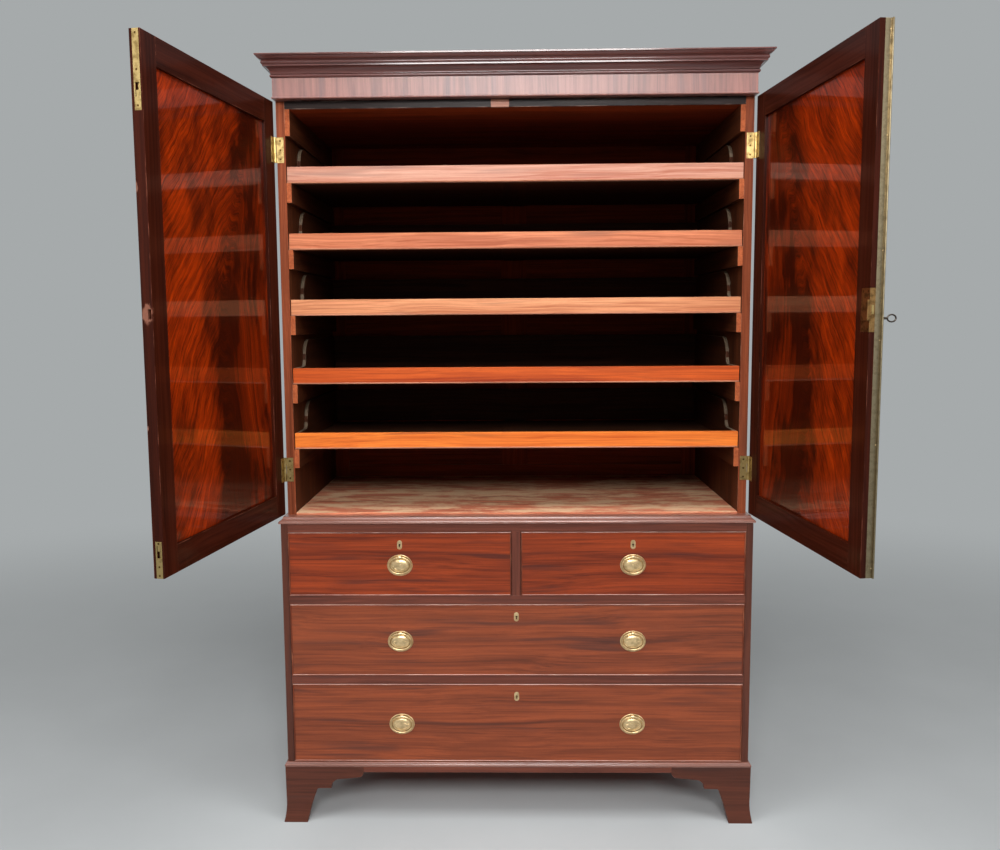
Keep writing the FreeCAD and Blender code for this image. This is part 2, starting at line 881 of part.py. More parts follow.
def drawer_box(x, z, handles):
    """A drawer: front with its cockbead, dovetailed sides, back and bottom."""
    face = (chest_y, chest_y + drawer_front_thickness)
    bead = cockbead_thickness
    rear = chest_back_y - drawer_back_gap
    top = z[1] - drawer_side_drop
    floor = z[0] + drawer_bottom_lift + drawer_bottom_thickness
    front = board((x[0] + bead, x[1] - bead), face, (z[0] + bead, z[1] - bead))
    front = front.fuse(board(x, (face[0] + cockbead_depth, face[1]), z)).removeSplitter()
    side = board((x[0], x[0] + drawer_side_thickness), (face[1], rear - drawer_side_thickness), (z[0], top))
    ends = tails((x[0], x[0] + drawer_side_thickness), face[1], face[1] - tail_lap, (z[0], top))
    high = top - drawer_back_drop
    span = (x[0], x[0] + drawer_side_thickness)
    far_ends = tails(span, rear - drawer_side_thickness, rear, (floor, high))
    left = side.multiFuse(ends + far_ends).removeSplitter()
    middle = (x[0] + x[1]) / 2
    right = left.mirror(V(middle, 0, 0), V(1, 0, 0))
    joints = [left, right]
    front = front.cut(Part.makeCompound(joints))
    back = board(x, (rear - drawer_side_thickness, rear), (floor, high)).cut(Part.makeCompound(joints))
    inner = (x[0] + drawer_side_thickness, x[1] - drawer_side_thickness)
    bottom = board(inner, (face[1], rear), (z[0] + drawer_bottom_lift, floor))
    holes = [rod(post_radius, (h, face[0], w + ring_half_height), (h, face[1], w + ring_half_height))
             for h, w in handles]
    front = front.cut(Part.makeCompound(holes))
    return front, [left, right, back, bottom] + cockbead(x, z)


def backplate(x, z):
    """A handle's oval plate with its boss, lug and post, and the nut inside the drawer."""
    face = chest_y - plate_thickness
    plate = oval(plate_half_width, plate_half_height, plate_end_radius, x, face, z)
    plate = plate.extrude(V(0, plate_thickness, 0))
    boss = oval(boss_half_width, boss_half_height, boss_end_radius, x, face, z)
    boss = boss.extrude(V(0, -boss_height, 0))
    rim = [edge for edge in boss.Edges if edge.BoundBox.YMax < face - boss_height / 2]
    boss = boss.makeChamfer(boss_slope, rim)
    hang = z + ring_half_height
    ring_y = chest_y - ring_standoff
    half = lug_width / 2
    lug = rod(lug_radius, (x - half, ring_y, hang), (x + half, ring_y, hang))
    lug = lug.fuse(board((x - half, x + half), (ring_y, face), (hang - lug_radius, hang + lug_radius)))
    bore = rod(ring_pin_radius + pin_gap, (x - half, ring_y, hang), (x + half, ring_y, hang))
    inside = chest_y + drawer_front_thickness
    post = rod(post_radius, (x, face, hang), (x, inside, hang))
    plate = plate.multiFuse([boss, lug.cut(bore), post]).removeSplitter()
    corners = []
    for i in range(nut_sides + 1):
        turn = 2 * math.pi * i / nut_sides
        corners.append(V(x + nut_radius * math.cos(turn), inside, hang + nut_radius * math.sin(turn)))
    nut = Part.Face(Part.makePolygon(corners)).extrude(V(0, nut_thickness, 0))
    return [plate, nut]


def loop(half_u, half_v, wire, place):
    """A closed oval loop of wire, lofted through many-sided sections. place takes (u, v, across)."""
    sections = []
    for i in range(loop_steps):
        turn = 2 * math.pi * i / loop_steps
        u, v = math.cos(turn), math.sin(turn)
        out = V(u / half_u, v / half_v, 0).normalize()
        corners = []
        for k in range(loop_sides + 1):
            roll = 2 * math.pi * (k + 0.5) / loop_sides
            reach = out * wire * math.cos(roll)
            corners.append(place(half_u * u + reach.x, half_v * v + reach.y, wire * math.sin(roll)))
        sections.append(Part.makePolygon(corners))
    return Part.makeLoft(sections, True, True, True)


def ring(x, z):
    """A handle's oval ring, with the straight pin that turns in the lug."""
    y = chest_y - ring_standoff
    hang = z + ring_half_height
    half = lug_width / 2 + drawer_gap
    wire = 2 * ring_wire
    hoop = loop(ring_half_width, ring_half_height, ring_wire, lambda u, v, w: V(x + u, y + w, z + v))
    hoop = hoop.cut(board((x - half, x + half), (y - wire, y + wire), (hang - wire, hang + wire)))
    half += ring_pin_lap
    pin = rod(ring_pin_radius, (x - half, y, hang), (x + half, y, hang))
    return hoop.fuse(pin)


# ---------------------------------------------------------------- doors
# A door is built shut, as the right one, and then turned about its hinges into its place.
def hang(pieces, side):
    """The pieces of a shut door, turned open: side is 1 for the right door and -1 for the left."""
    angle = right_open if side > 0 else -left_open
    hung = []
    for piece in pieces:
        shape = piece.copy() if side > 0 else flipped(piece)
        shape.rotate(V(side * axis_x, axis_y, 0), V(0, 0, 1), angle)
        hung.append(shape)
    return hung


def door_frame():
    """Stiles and rails, grooved for the panel and bedded for the hinge leaves."""
    y = (0, door_thickness)
    inner = (door_edge + stile_width, case_half - stile_width)
    rails = (door_bottom + door_rail_width, door_top - door_rail_width)
    stile_z = (door_bottom, door_top)
    members = [board((door_edge, inner[0]), y, stile_z)]
    members.append(board((inner[1], case_half), y, stile_z))
    members.append(board(inner, y, (door_bottom, rails[0])))
    members.append(board(inner, y, (rails[1], door_top)))
    groove = grown(inner, (panel_recess, panel_recess + panel_thickness), rails, panel_tongue)
    x = (case_half - leaf_width, case_half)
    depth = (axis_y - leaf_gap / 2 - leaf_thickness, door_thickness)
    beds = [board(x, depth, (z - hinge_length / 2, z + hinge_length / 2)) for z in hinge_heights()]
    return cut_all(members, groove, *beds)


def door_panel():
    """The flat panel, with a quarter-round moulding planted round it on the outside."""
    x = (door_edge + stile_width, case_half - stile_width)
    z = (door_bottom + door_rail_width, door_top - door_rail_width)
    depth = (panel_recess, panel_recess + panel_thickness)
    panel = grown(x, depth, z, panel_tongue - panel_gap)
    width = panel_recess

    def quarter(a, b):
        across = 1 if a[1] == b[1] else 0
        low = [min(a[0], b[0]) - width, min(a[1], b[1]) - width]
        high = [max(a[0], b[0]) + width, max(a[1], b[1]) + width]
        outer = z if across else x
        near = min(outer, key=lambda edge: abs(edge - a[across]))
        start = [low[0], panel_recess, low[1]]
        end = [high[0], panel_recess, high[1]]
        start[2 * across] = near
        end[2 * across] = near
        return rod(width, tuple(start), tuple(end))

    return [panel] + strips(x, z, (0, panel_recess), width, quarter)


def hinge(z):
    """One butt hinge on the shut right door: the case's leaf, the door's leaf and the pin.

    The pin is driven tight into the case leaf's knuckles, and the door's knuckle turns on it.
    """
    low, high = z - hinge_length / 2, z + hinge_length / 2
    step = hinge_length / hinge_knuckles
    inner = case_half - leaf_width
    leaves = []
    behind, before = axis_y + leaf_gap / 2, axis_y - leaf_gap / 2 - leaf_thickness
    for turn, near, play in ((0, behind, 0), (1, before, pin_gap)):
        y = (near, near + leaf_thickness)
        plate = board((inner, case_half), y, (low, high))
        bore = rod(hinge_pin_radius + play, (axis_x, axis_y, low), (axis_x, axis_y, high))
        for i in range(turn, hinge_knuckles, 2):
            start = max(low, low + i * step + knuckle_gap / 2 * min(i, 1))
            end = min(high, low + (i + 1) * step - knuckle_gap / 2)
            plate = plate.fuse(rod(knuckle_radius, (axis_x, axis_y, start), (axis_x, axis_y, end)))
            plate = plate.fuse(board((case_half, axis_x), y, (start, end)))
        leaves.append(plate.cut(bore).removeSplitter())
    pin = rod(hinge_pin_radius, (axis_x, axis_y, low), (axis_x, axis_y, high - knuckle_gap / 2))
    return leaves[0], leaves[1], pin


def bolt_plates():
    """A flush bolt's edge plate at each end of the door: its z span and its window's z span."""
    top = (door_top - top_bolt_plate, door_top)
    bottom = (door_bottom, door_bottom + bottom_bolt_plate)
    window_low = top[0] + bolt_window_height
    window_high = bottom[1] - bottom_bolt_margin
    return (
        (top, (window_low, window_low + bolt_window_height)),
        (bottom, (window_high - bolt_window_height, window_high)),
    )


def flush_bolts():
    """On the shut right door's edge: the beds and ways to cut, the two plates and the two bolts."""
    half = bolt_plate_width / 2
    face = (door_edge, door_edge + bolt_plate_thickness)
    way_x = (face[1], bolt_x + bolt_radius + bolt_gap)
    way_half = bolt_window_width / 2
    beds, plates, bolts = [], [], []
    for turn, (z, window) in zip((1, -1), bolt_plates()):
        bed = board(face, (bolt_y - half, bolt_y + half), z)
        hole = board(face, (bolt_y - way_half, bolt_y + way_half), window)
        plates.append(bed.cut(hole))
        end = z[1] if turn > 0 else z[0]
        rest = window[0] if turn > 0 else window[1]
        tail = rest - turn * bolt_gap
        way = tuple(sorted((tail, end)))
        beds += [bed, board(way_x, (bolt_y - way_half, bolt_y + way_half), way)]
        tip = end - turn * seat_gap
        bolt = rod(bolt_radius, (bolt_x, bolt_y, rest), (bolt_x, bolt_y, tip))
        knob_z = tuple(sorted((rest, rest + turn * bolt_knob_height)))
        knob_half = way_half - mortise_room
        knob_y = (bolt_y - knob_half, bolt_y + knob_half)
        knob = board((bolt_x - bolt_knob_reach, bolt_x), knob_y, knob_z)
        bolts.append(bolt.fuse(knob).removeSplitter())
    return beds, plates, bolts


def astragal():
    """The brass strip on the right door: a flange let into its edge and a half-round over the gap."""
    z = (door_bottom, door_top)
    flange_x = (door_edge, door_edge + astragal_flange_thickness)
    flange = board(flange_x, (0, astragal_flange), z)
    half = astragal_width / 2
    bead = outline(
        lambda x, y: V(x, y, z[0]),
        (-half, -seat_gap),
        ((0, -astragal_height), (half, -seat_gap)),
        (half, 0),
        (door_edge, 0),
        (door_edge, -seat_gap),
    ).extrude(V(0, 0, z[1] - z[0]))
    return flange, flange.fuse(bead).removeSplitter()


def door_lock():
    """The right door's lock, shut: what to cut, its case, its bolt and its key."""
    x = (door_edge, door_edge + door_lock_width)
    middle = lock_middle
    back = door_thickness
    z = (middle - door_lock_height / 2, middle + door_lock_height / 2)
    plate = board(x, (back - door_lock_plate, back), z)
    box_x = (x[0], x[0] + door_lock_box_width)
    box_z = (middle - door_lock_box / 2, middle + door_lock_box / 2)
    inner = back - door_lock_box_depth
    box = board(box_x, (inner, back), box_z)
    edge = board((x[0], x[0] + door_lock_wall), (astragal_flange, back), z)
    cap_x = (x[0] + door_lock_wall, box_x[1] - door_lock_wall)
    cap_z = (middle - door_lock_cap_height / 2, middle + door_lock_cap_height / 2)
    cap = board(cap_x, (back, back + door_lock_cap), cap_z)
    bed = plate.fuse(box).fuse(edge)
    key_x = x[0] + key_from_edge
    key_z = middle - key_below_lock
    low = key_z + key_bit + key_room + door_lock_wall
    bolt_z = (low, low + door_bolt_height)
    rear = back - door_lock_plate - door_lock_floor
    bolt_y_span = (rear - door_bolt_thickness, rear)
    way_end = box_x[1] - door_lock_floor
    bolt = board((x[0] + seat_gap, way_end - door_lock_floor), bolt_y_span, bolt_z)
    way = board(
        (x[0], way_end),
        (bolt_y_span[0] - bolt_gap, bolt_y_span[1] + bolt_gap),
        (bolt_z[0] - bolt_gap, bolt_z[1] + bolt_gap),
    )
    chamber = rod(key_bit + key_room, (key_x, inner, key_z), (key_x, back - door_lock_plate, key_z))
    case = bed.fuse(cap).cut(way).cut(chamber).removeSplitter()
    return bed, case, bolt, (key_x, key_z)


def strike_mortise():
    """The slot for the lock's bolt in the left door's edge, drawn on the shut right door."""
    bolt = door_lock()[2].BoundBox
    x = (door_edge, door_edge + door_bolt_throw)
    y = (bolt.YMin - mortise_room, bolt.YMax + mortise_room)
    return board(x, y, (bolt.ZMin - mortise_room, bolt.ZMax + mortise_room))


def key(x, z):
    """The key as it stands in the shut right door: an oval bow, a round shank and a bit."""
    tip = door_thickness - door_lock_plate - door_lock_floor
    wire = key_bow_wire / 2
    shank = rod(key_radius, (x, -key_length - wire, z), (x, tip, z))
    half = (key_bow_length / 2 - wire, key_bow_height / 2 - wire)
    middle = -key_length - wire - half[0]
    bow = loop(half[0], half[1], wire, lambda u, v, w: V(x + w, middle + u, z + v))
    thin = key_bit_thickness / 2
    bit = board((x - thin, x + thin), (tip - key_bit_width, tip), (z - key_bit, z))
    return shank.fuse(bow).fuse(bit)


# ---------------------------------------------------------------- build
def build_case():
    write("upper_sides", *upper_sides())
    write("upper_top", *upper_top())
    write("upper_floor", board((-case_inner, case_inner), (case_y, panel_back_y), (upper_z, case_floor)))
    frame, panels = upper_back()
    write("upper_back_frame", *frame)
    write("upper_back_panels", *panels)
    write("tray_runners", *tray_runners())


def build_mouldings():
    half = case_half + frieze_overhang
    seat = frieze_thickness
    reach = cornice_projection + cut_over
    high_socket, low_socket = bolt_sockets()
    frieze = around(frieze_section, half, frieze_front(), back_y, seat, seat, reach)
    write("frieze", *cut_all(frieze, high_socket))
    write("cornice", *around(cornice_section, half, frieze_front(), back_y, seat, seat, reach))
    write("cornice_frame", cornice_back_rail(), cornice_dust_top(), *cornice_battens())
    seat = case_y - chest_y
    side_seat = chest_half - case_half
    waist = around(waist_section, chest_half, chest_y, back_y, seat, side_seat, waist_projection + cut_over)
    write("waist_moulding", *cut_all(waist, low_socket))
    base = around(base_section, chest_half, chest_y, back_y, 0, 0, base_projection + cut_over)
    write("base_moulding", *base)


def build_chest():
    x = (-chest_inner, chest_inner)
    write("chest_sides", *chest_sides())
    top_y = (chest_y + rail_depth, chest_back_y)
    write("chest_top", board(x, top_y, (upper_z - chest_top, upper_z)))
    write("chest_floor", board(x, (chest_y, chest_back_y), (chest_z, chest_z + chest_floor)))
    write("chest_back", *chest_back_pieces())
    write("drawer_rails", *drawer_rails())
    half = muntin_width / 2
    write("drawer_muntin", board((-half, half), (chest_y, chest_y + rail_depth), row_levels()[0]))
    write("drawer_runners", *drawer_runners())
    write("dust_boards", *dust_boards())
    write("front_feet", *both(*front_foot()))
    write("rear_feet", *both(*rear_foot()))
    write("foot_blocks", *glue_blocks())
    write("plinth_strips", *plinth_strips())


def build_trays():
    for i, level in enumerate(tray_levels):
        write("tray_%d" % (i + 1), *tray(level))


def build_drawer(name, opening_x, opening_z, handles):
    x, z = drawer_spans(opening_x, opening_z)
    middle = (x[0] + x[1]) / 2
    level = (z[0] + z[1]) / 2 - handle_drop
    places = [(h, level) for h in handles]
    front, box = drawer_box(x, z, places)
    bed, case, bolt = drawer_lock(middle, z[1])
    plate_bed, plate = escutcheon(middle, z[1] - keyhole_drop, chest_y)
    hole = keyhole(middle, z[1] - keyhole_drop, (chest_y, chest_y + drawer_front_thickness))
    front = front.cut(bed).cut(plate_bed).cut(hole)
    case = case.cut(hole)
    write(name + "_drawer", front, *box)
    fittings = [case, plate]
    for h, w in places:
        fittings += backplate(h, w)
    write(name + "_fittings", *fittings)
    write(name + "_lock_bolt", bolt)
    if len(handles) == 1:
        write(name + "_ring", ring(*places[0]))
    else:
        write(name + "_left_ring", ring(*places[0]))
        write(name + "_right_ring", ring(*places[1]))


def build_drawers():
    rows = row_levels()
    half = muntin_width / 2
    middle = short_drawer_middle()
    pair = (-handle_from_middle, handle_from_middle)
    build_drawer("top_left", (-chest_inner, -half), rows[0], [-middle])
    build_drawer("top_right", (half, chest_inner), rows[0], [middle])
    build_drawer("middle", (-chest_inner, chest_inner), rows[1], pair)
    build_drawer("bottom", (-chest_inner, chest_inner), rows[2], pair)


def build_doors():
    case_leaves, door_leaves, pins = [], [], []
    for z in hinge_heights():
        case_leaf, door_leaf, pin = hinge(z)
        case_leaves += both(case_leaf)
        door_leaves.append(door_leaf)
        pins += both(pin)
    write("case_hinges", *case_leaves, *pins)
    write("left_door_hinge_leaves", *hang(door_leaves, -1))
    write("right_door_hinge_leaves", *hang(door_leaves, 1))

    beds, plates, bolts = flush_bolts()
    left = cut_all(door_frame(), strike_mortise(), *beds)
    write("left_door_frame", *hang(left, -1))
    write("left_door_panel", *hang(door_panel(), -1))
    write("flush_bolt_plates", *hang(plates, -1))
    write("top_flush_bolt", *hang(bolts[:1], -1))
    write("bottom_flush_bolt", *hang(bolts[1:], -1))

    flange, strip = astragal()
    bed, case, bolt, (key_x, key_z) = door_lock()
    plate_bed, plate = escutcheon(key_x, key_z, 0)
    hole = keyhole(key_x, key_z, (0, door_thickness))
    right = cut_all(door_frame(), flange, bed, plate_bed, hole)
    write("right_door_frame", *hang(right, 1))
    write("right_door_panel", *hang(door_panel(), 1))
    write("astragal", *hang([strip], 1))
    write("door_lock_case", *hang([case, plate], 1))
    write("door_lock_bolt", *hang([bolt], 1))
    write("door_key", *hang([key(key_x, key_z)], 1))


os.makedirs("parts", exist_ok=True)
build_case()
build_mouldings()
build_chest()
build_trays()
build_drawers()
build_doors()
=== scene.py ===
# %% [markdown]
# # A mahogany linen press, dressed for its picture
#
# A linen press is a tall cupboard of sliding trays that stands on a chest of drawers. The joiner's
# work, every board at its true size, comes in as a fixed frame. This lesson polishes the wood,
# cuts the brass and lights the room around it. Each step first says what the thing is on the real
# press, then how it could be made, and why it is made this way.

# %% Load the joiner's frame
import json
import math
import random

import bmesh
import bpy
from mathutils import Matrix, Vector


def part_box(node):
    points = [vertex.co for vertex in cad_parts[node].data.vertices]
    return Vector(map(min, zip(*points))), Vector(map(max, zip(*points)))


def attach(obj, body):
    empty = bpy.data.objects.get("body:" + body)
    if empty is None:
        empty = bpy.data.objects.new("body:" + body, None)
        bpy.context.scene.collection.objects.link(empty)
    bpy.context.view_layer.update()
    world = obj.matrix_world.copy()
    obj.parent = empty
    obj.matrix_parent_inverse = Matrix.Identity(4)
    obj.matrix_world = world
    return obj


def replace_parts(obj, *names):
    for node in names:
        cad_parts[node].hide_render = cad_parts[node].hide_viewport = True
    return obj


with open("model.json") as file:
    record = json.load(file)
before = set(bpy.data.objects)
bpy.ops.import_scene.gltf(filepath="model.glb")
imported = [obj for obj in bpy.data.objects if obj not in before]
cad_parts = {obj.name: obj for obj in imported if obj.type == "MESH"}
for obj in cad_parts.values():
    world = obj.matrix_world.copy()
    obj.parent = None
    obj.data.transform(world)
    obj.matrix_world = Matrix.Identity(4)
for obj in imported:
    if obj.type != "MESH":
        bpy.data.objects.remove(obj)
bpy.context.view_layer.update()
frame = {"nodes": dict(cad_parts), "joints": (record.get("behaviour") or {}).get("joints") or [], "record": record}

MM = 0.001
record = frame["record"]
BODY = {node: body for body, nodes in record["behaviour"]["bodies"].items() for node in nodes}
SLOT = {part["node"]: part["material_slot"] for part in record["subparts"]}

# %% [markdown]
# ## Doors are measured shut
#
# The doors stand open, turned about their hinges, so a stile's long side no longer lies along an
# axis. Grain and wear are laid out on a board that lies square, so a door's boards are turned shut
# for measuring. The frame's joint knows the hinge line and the angle: a door is shut at the low
# end of its range.

# %% Find how each door turns shut
HINGED = {}
for joint in frame["joints"]:
    if joint["child"] in ("left_door", "right_door"):
        line = Matrix.Translation(Vector(joint["pos_m"]))
        swing = Matrix.Rotation(math.radians(joint["range_deg"][0]), 4, Vector(joint["axis"]))
        HINGED[joint["child"]] = line @ swing @ line.inverted()
for rider, door in (("top_flush_bolt", "left_door"), ("bottom_flush_bolt", "left_door"),
                    ("door_lock_bolt", "right_door"), ("door_key", "right_door")):
    HINGED[rider] = HINGED[door]
print("bodies that turn shut:", sorted(HINGED))

# %% [markdown]
# ## One board at a time
#
# A node of the frame can hold many boards, such as the nine pieces of a drawer. Wood is only
# believable if each board has its own grain, so the boards have to be told apart. The frame's mesh
# is loose triangles that come solid by solid. A solid's skin is closed, which means that each of
# its edges is met exactly twice, so walking through the triangles and counting edges tells where
# one board ends. Splitting by touching corners would not do, because glued boards share corners.

# %% Tell a node's boards apart
CORNER_DIGITS = 6


def split_boards(bm):
    """The faces of each closed skin in a mesh of loose triangles."""
    boards, faces, unmatched = [], [], set()
    for face in bm.faces:
        corners = [tuple(round(c, CORNER_DIGITS) for c in vert.co) for vert in face.verts]
        faces.append(face)
        for a, b in zip(corners, corners[1:] + corners[:1]):
            unmatched ^= {(min(a, b), max(a, b))}
        if not unmatched:
            boards.append(faces)
            faces = []
    return boards + ([faces] if faces else [])


sample = bmesh.new()
sample.from_mesh(frame["nodes"]["top_left_drawer"].data)
print("pieces in a short drawer:", len(split_boards(sample)))
sample.free()

# %% [markdown]
# ## Laying out a board
#
# Grain runs along a board, so a pattern has to know how its board lies. Each board gets a square
# frame of its own, written on its corners: `place` is the position from the board's middle with
# the grain along X, `half` is half its size, and `seed` differs from board to board. A shader can
# read these as attributes, so one recipe for mahogany gives every board its own figure, running
# the right way. A pattern unwrapped round the board would show a seam, and this one has none.

# %% Lay out a board
def bounds_of(points):
    """The lowest and the highest corner of the box round some points."""
    return [Vector([pick(point[k] for point in points) for k in range(3)]) for pick in (min, max)]


def lay_out(attributes, verts, points, box, grain):
    """Writes a board's own frame on its corners. grain is its axis where that isn't the longest."""
    place, half, seed = attributes
    low, high = box
    order = sorted(range(3), key=lambda k: low[k] - high[k])
    if grain is not None:
        order.remove(grain)
        order.insert(0, grain)
    number = random.random()
    for vert, point in zip(verts, points):
        vert[place] = [point[k] - (low[k] + high[k]) / 2 for k in order]
        vert[half] = [(high[k] - low[k]) / 2 for k in order]
        vert[seed] = number


WOOD_SEED = 7
random.seed(WOOD_SEED)
print("the boards' seeds start from", WOOD_SEED)

# %% [markdown]
# ## Planed and broken
#
# A joiner never leaves a sharp arris: a pass of the plane or two centuries of hands break it, and
# that thin flat is what catches the light. Here a copy of each node is cleaned (its doubled corners
# merged, its flat faces joined), laid out board by board, and its outer arrises are bevelled. The
# new flats are marked on an attribute of their own, so that wear can find them. `stand` makes a
# mesh a piece that rides with its body, and `dressed` puts such a piece in a node's place.

# %% Bevel and shade edges
ARRIS = 0.7 * MM
METAL_ARRIS = 0.3 * MM
SOFT_BEND = math.radians(26)


def break_edges(bm, edges, width, steps=1):
    """Bevels edges, and returns the new faces."""
    return bmesh.ops.bevel(bm, geom=edges, offset=width, offset_type="OFFSET", affect="EDGES",
                           segments=steps, profile=0.5, material=-1, clamp_overlap=True)["faces"]


def soften(bm, bend=SOFT_BEND):
    """Shades a mesh smooth, with edges kept sharp where it bends more than bend."""
    for face in bm.faces:
        face.smooth = True
    for edge in bm.edges:
        edge.smooth = edge.is_manifold and edge.calc_face_angle() < bend


print("arrises are broken by", ARRIS / MM, "mm on wood and", METAL_ARRIS / MM, "mm on metal")

# %% Make a mesh a piece of the press
def stand(bm, name, body):
    """Makes a mesh a piece of the press that moves with a body."""
    mesh = bpy.data.meshes.new(name)
    bm.to_mesh(mesh)
    bm.free()
    piece = bpy.data.objects.new(name, mesh)
    bpy.context.scene.collection.objects.link(piece)
    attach(piece, body)
    return piece


# %% Dress a node's boards
WELD = 0.002 * MM
SHARP_BEND = math.radians(40)
FLAT_BEND = math.radians(0.3)


def dressed(node, keep=None, grain=None, arris=ARRIS, name=None):
    """A finished copy of a node, or of those of its boards whose (low, high) box keep accepts."""
    bm = bmesh.new()
    bm.from_mesh(frame["nodes"][node].data)
    bm.faces.ensure_lookup_table()
    layers = bm.verts.layers
    attributes = (layers.float_vector.new("place"), layers.float_vector.new("half"),
                  layers.float.new("seed"))
    worn = bm.faces.layers.float.new("arris")
    shut = HINGED.get(BODY[node], Matrix.Identity(4))
    dropped = []
    for faces in split_boards(bm):
        verts = list({vert: None for face in faces for vert in face.verts})
        points = [shut @ vert.co for vert in verts]
        box = bounds_of(points)
        if keep is not None and not keep(*box):
            dropped += verts
            continue
        lay_out(attributes, verts, points, box, grain)
        bmesh.ops.remove_doubles(bm, verts=verts, dist=WELD)
    bmesh.ops.delete(bm, geom=dropped, context="VERTS")
    bmesh.ops.dissolve_limit(bm, angle_limit=FLAT_BEND, verts=bm.verts, edges=bm.edges,
                             delimit={"NORMAL"})
    outer = [edge for edge in bm.edges
             if edge.is_manifold and edge.is_convex and edge.calc_face_angle() > SHARP_BEND]
    for face in break_edges(bm, outer, arris):
        face[worn] = 1
    soften(bm)
    piece = stand(bm, name or node + "_dressed", BODY[node])
    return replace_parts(piece, node)


print("corners of a board within", WELD / MM, "mm of each other are merged")

# %% [markdown]
# ## Small tools for finishes
#
# A finish is a tree of shader nodes. Adding and joining nodes by hand is long-winded, so small
# helpers do it. `tint` turns a colour as a screen shows it into a shader's numbers, `fill` joins
# or sets one socket, and `add` adds any node and takes numbers or other nodes' outputs for its
# inputs. `sums` and `vectors` do arithmetic, and `left_of_one` is the sum that wear and dust need
# most often.

# %% Helpers for shader nodes
def tint(red, green, blue):
    """A colour as it is seen on a screen, 0 to 255, in the linear values that shaders use."""
    seen = [c / 255 for c in (red, green, blue)]
    return (*[c / 12.92 if c <= 0.04045 else ((c + 0.055) / 1.055) ** 2.4 for c in seen], 1)


def fill(socket, value):
    """Joins another node's output to a socket, or sets the socket to a number or colour."""
    if isinstance(value, bpy.types.NodeSocket):
        socket.id_data.links.new(value, socket)
    else:
        socket.default_value = value


def add(tree, kind, settings=None, **inputs):
    """A node, with its inputs by name."""
    node = tree.nodes.new("ShaderNode" + kind)
    for name, value in (settings or {}).items():
        setattr(node, name, value)
    for name, value in inputs.items():
        fill(node.inputs[name.replace("_", " ")], value)
    return node


def sums(tree, operation, *values):
    """The result of a Math node."""
    node = add(tree, "Math", {"operation": operation})
    for socket, value in zip(node.inputs, values):
        fill(socket, value)
    return node.outputs[0]


def left_of_one(tree, value):
    """1 less a value."""
    return sums(tree, "SUBTRACT", 1.0, value)


def vectors(tree, operation, *values):
    """The result of a Vector Math node."""
    node = add(tree, "VectorMath", {"operation": operation})
    for socket, value in zip(node.inputs, values):
        fill(socket, value)
    return node.outputs["Value" if operation == "LENGTH" else "Vector"]


print("a mid grey on the screen is", round(tint(128, 128, 128)[0], 3), "to a shader")

# %% [markdown]
# ## Patterns and shared recipes
#
# Four more helpers draw: `fade` is a soft step, `blend` mixes two colours, `grainy` is noise that
# is stretched along the grain, and `patches` is such noise with a fade, which gives islands with
# soft shores. Two more are for node groups. A group is a recipe that several finishes share:
# `recipe` starts one with its sockets, and `use` places it in a finish.

# %% Helpers for patterns
BLEND_SHARE, BLEND_FIRST, BLEND_SECOND, BLEND_RESULT = 0, 6, 7, 2


def fade(tree, value, start, end):
    """0 below start and 1 above end, with a soft step between."""
    return add(tree, "MapRange", {"interpolation_type": "SMOOTHSTEP"}, Value=value, From_Min=start,
               From_Max=end).outputs["Result"]


def blend(tree, share, first, second):
    """Two colours mixed."""
    node = add(tree, "Mix", {"data_type": "RGBA", "blend_type": "MIX"})
    for index, value in ((BLEND_SHARE, share), (BLEND_FIRST, first), (BLEND_SECOND, second)):
        fill(node.inputs[index], value)
    return node.outputs[BLEND_RESULT]


def grainy(tree, where, stretch, detail=3, roughness=0.55):
    """Noise stretched along the grain: stretch is how often it repeats in a metre, each way."""
    node = add(tree, "TexNoise", Vector=vectors(tree, "MULTIPLY", where, stretch), Scale=1.0,
               Detail=detail, Roughness=roughness)
    return node.outputs[0]


def patches(tree, where, stretch, start, end, detail=3, roughness=0.55):
    """Noise made into patches: 0 where it is below start and 1 where it is above end."""
    return fade(tree, grainy(tree, where, stretch, detail, roughness), start, end)


print("a blend's colours go in at", BLEND_FIRST, "and", BLEND_SECOND, "and its share at", BLEND_SHARE)

# %% Helpers for shared recipes
def recipe(name, inputs, outputs):
    """A new node group with its sockets, and its input and output ends."""
    group = bpy.data.node_groups.new(name, "ShaderNodeTree")
    kinds = {"colour": "NodeSocketColor", "value": "NodeSocketFloat", "vector": "NodeSocketVector"}
    for side, sockets in (("INPUT", inputs), ("OUTPUT", outputs)):
        for title, kind in sockets.items():
            group.interface.new_socket(title, in_out=side, socket_type=kinds[kind])
    ends = group.nodes.new("NodeGroupInput"), group.nodes.new("NodeGroupOutput")
    return group, ends[0].outputs, ends[1].inputs


def use(tree, group, **inputs):
    """A shared recipe placed in a finish."""
    node = add(tree, "Group", {"node_tree": group})
    for name, value in inputs.items():
        fill(node.inputs[name.replace("_", " ")], value)
    return node.outputs


print("recipes so far:", len(bpy.data.node_groups))

# %% [markdown]
# ## Where a point lies on its board
#
# Grain and wear both start from the same question: where on its board is this point? This recipe
# reads the attributes that `dressed` wrote. It shifts the place by the board's seed, so that no two
# boards show the same stretch of tree, and works out how far the nearest arris is. On a square
# board's skin one of the three distances to its faces is nought, so the middle one of the three is
# the distance to the arris.

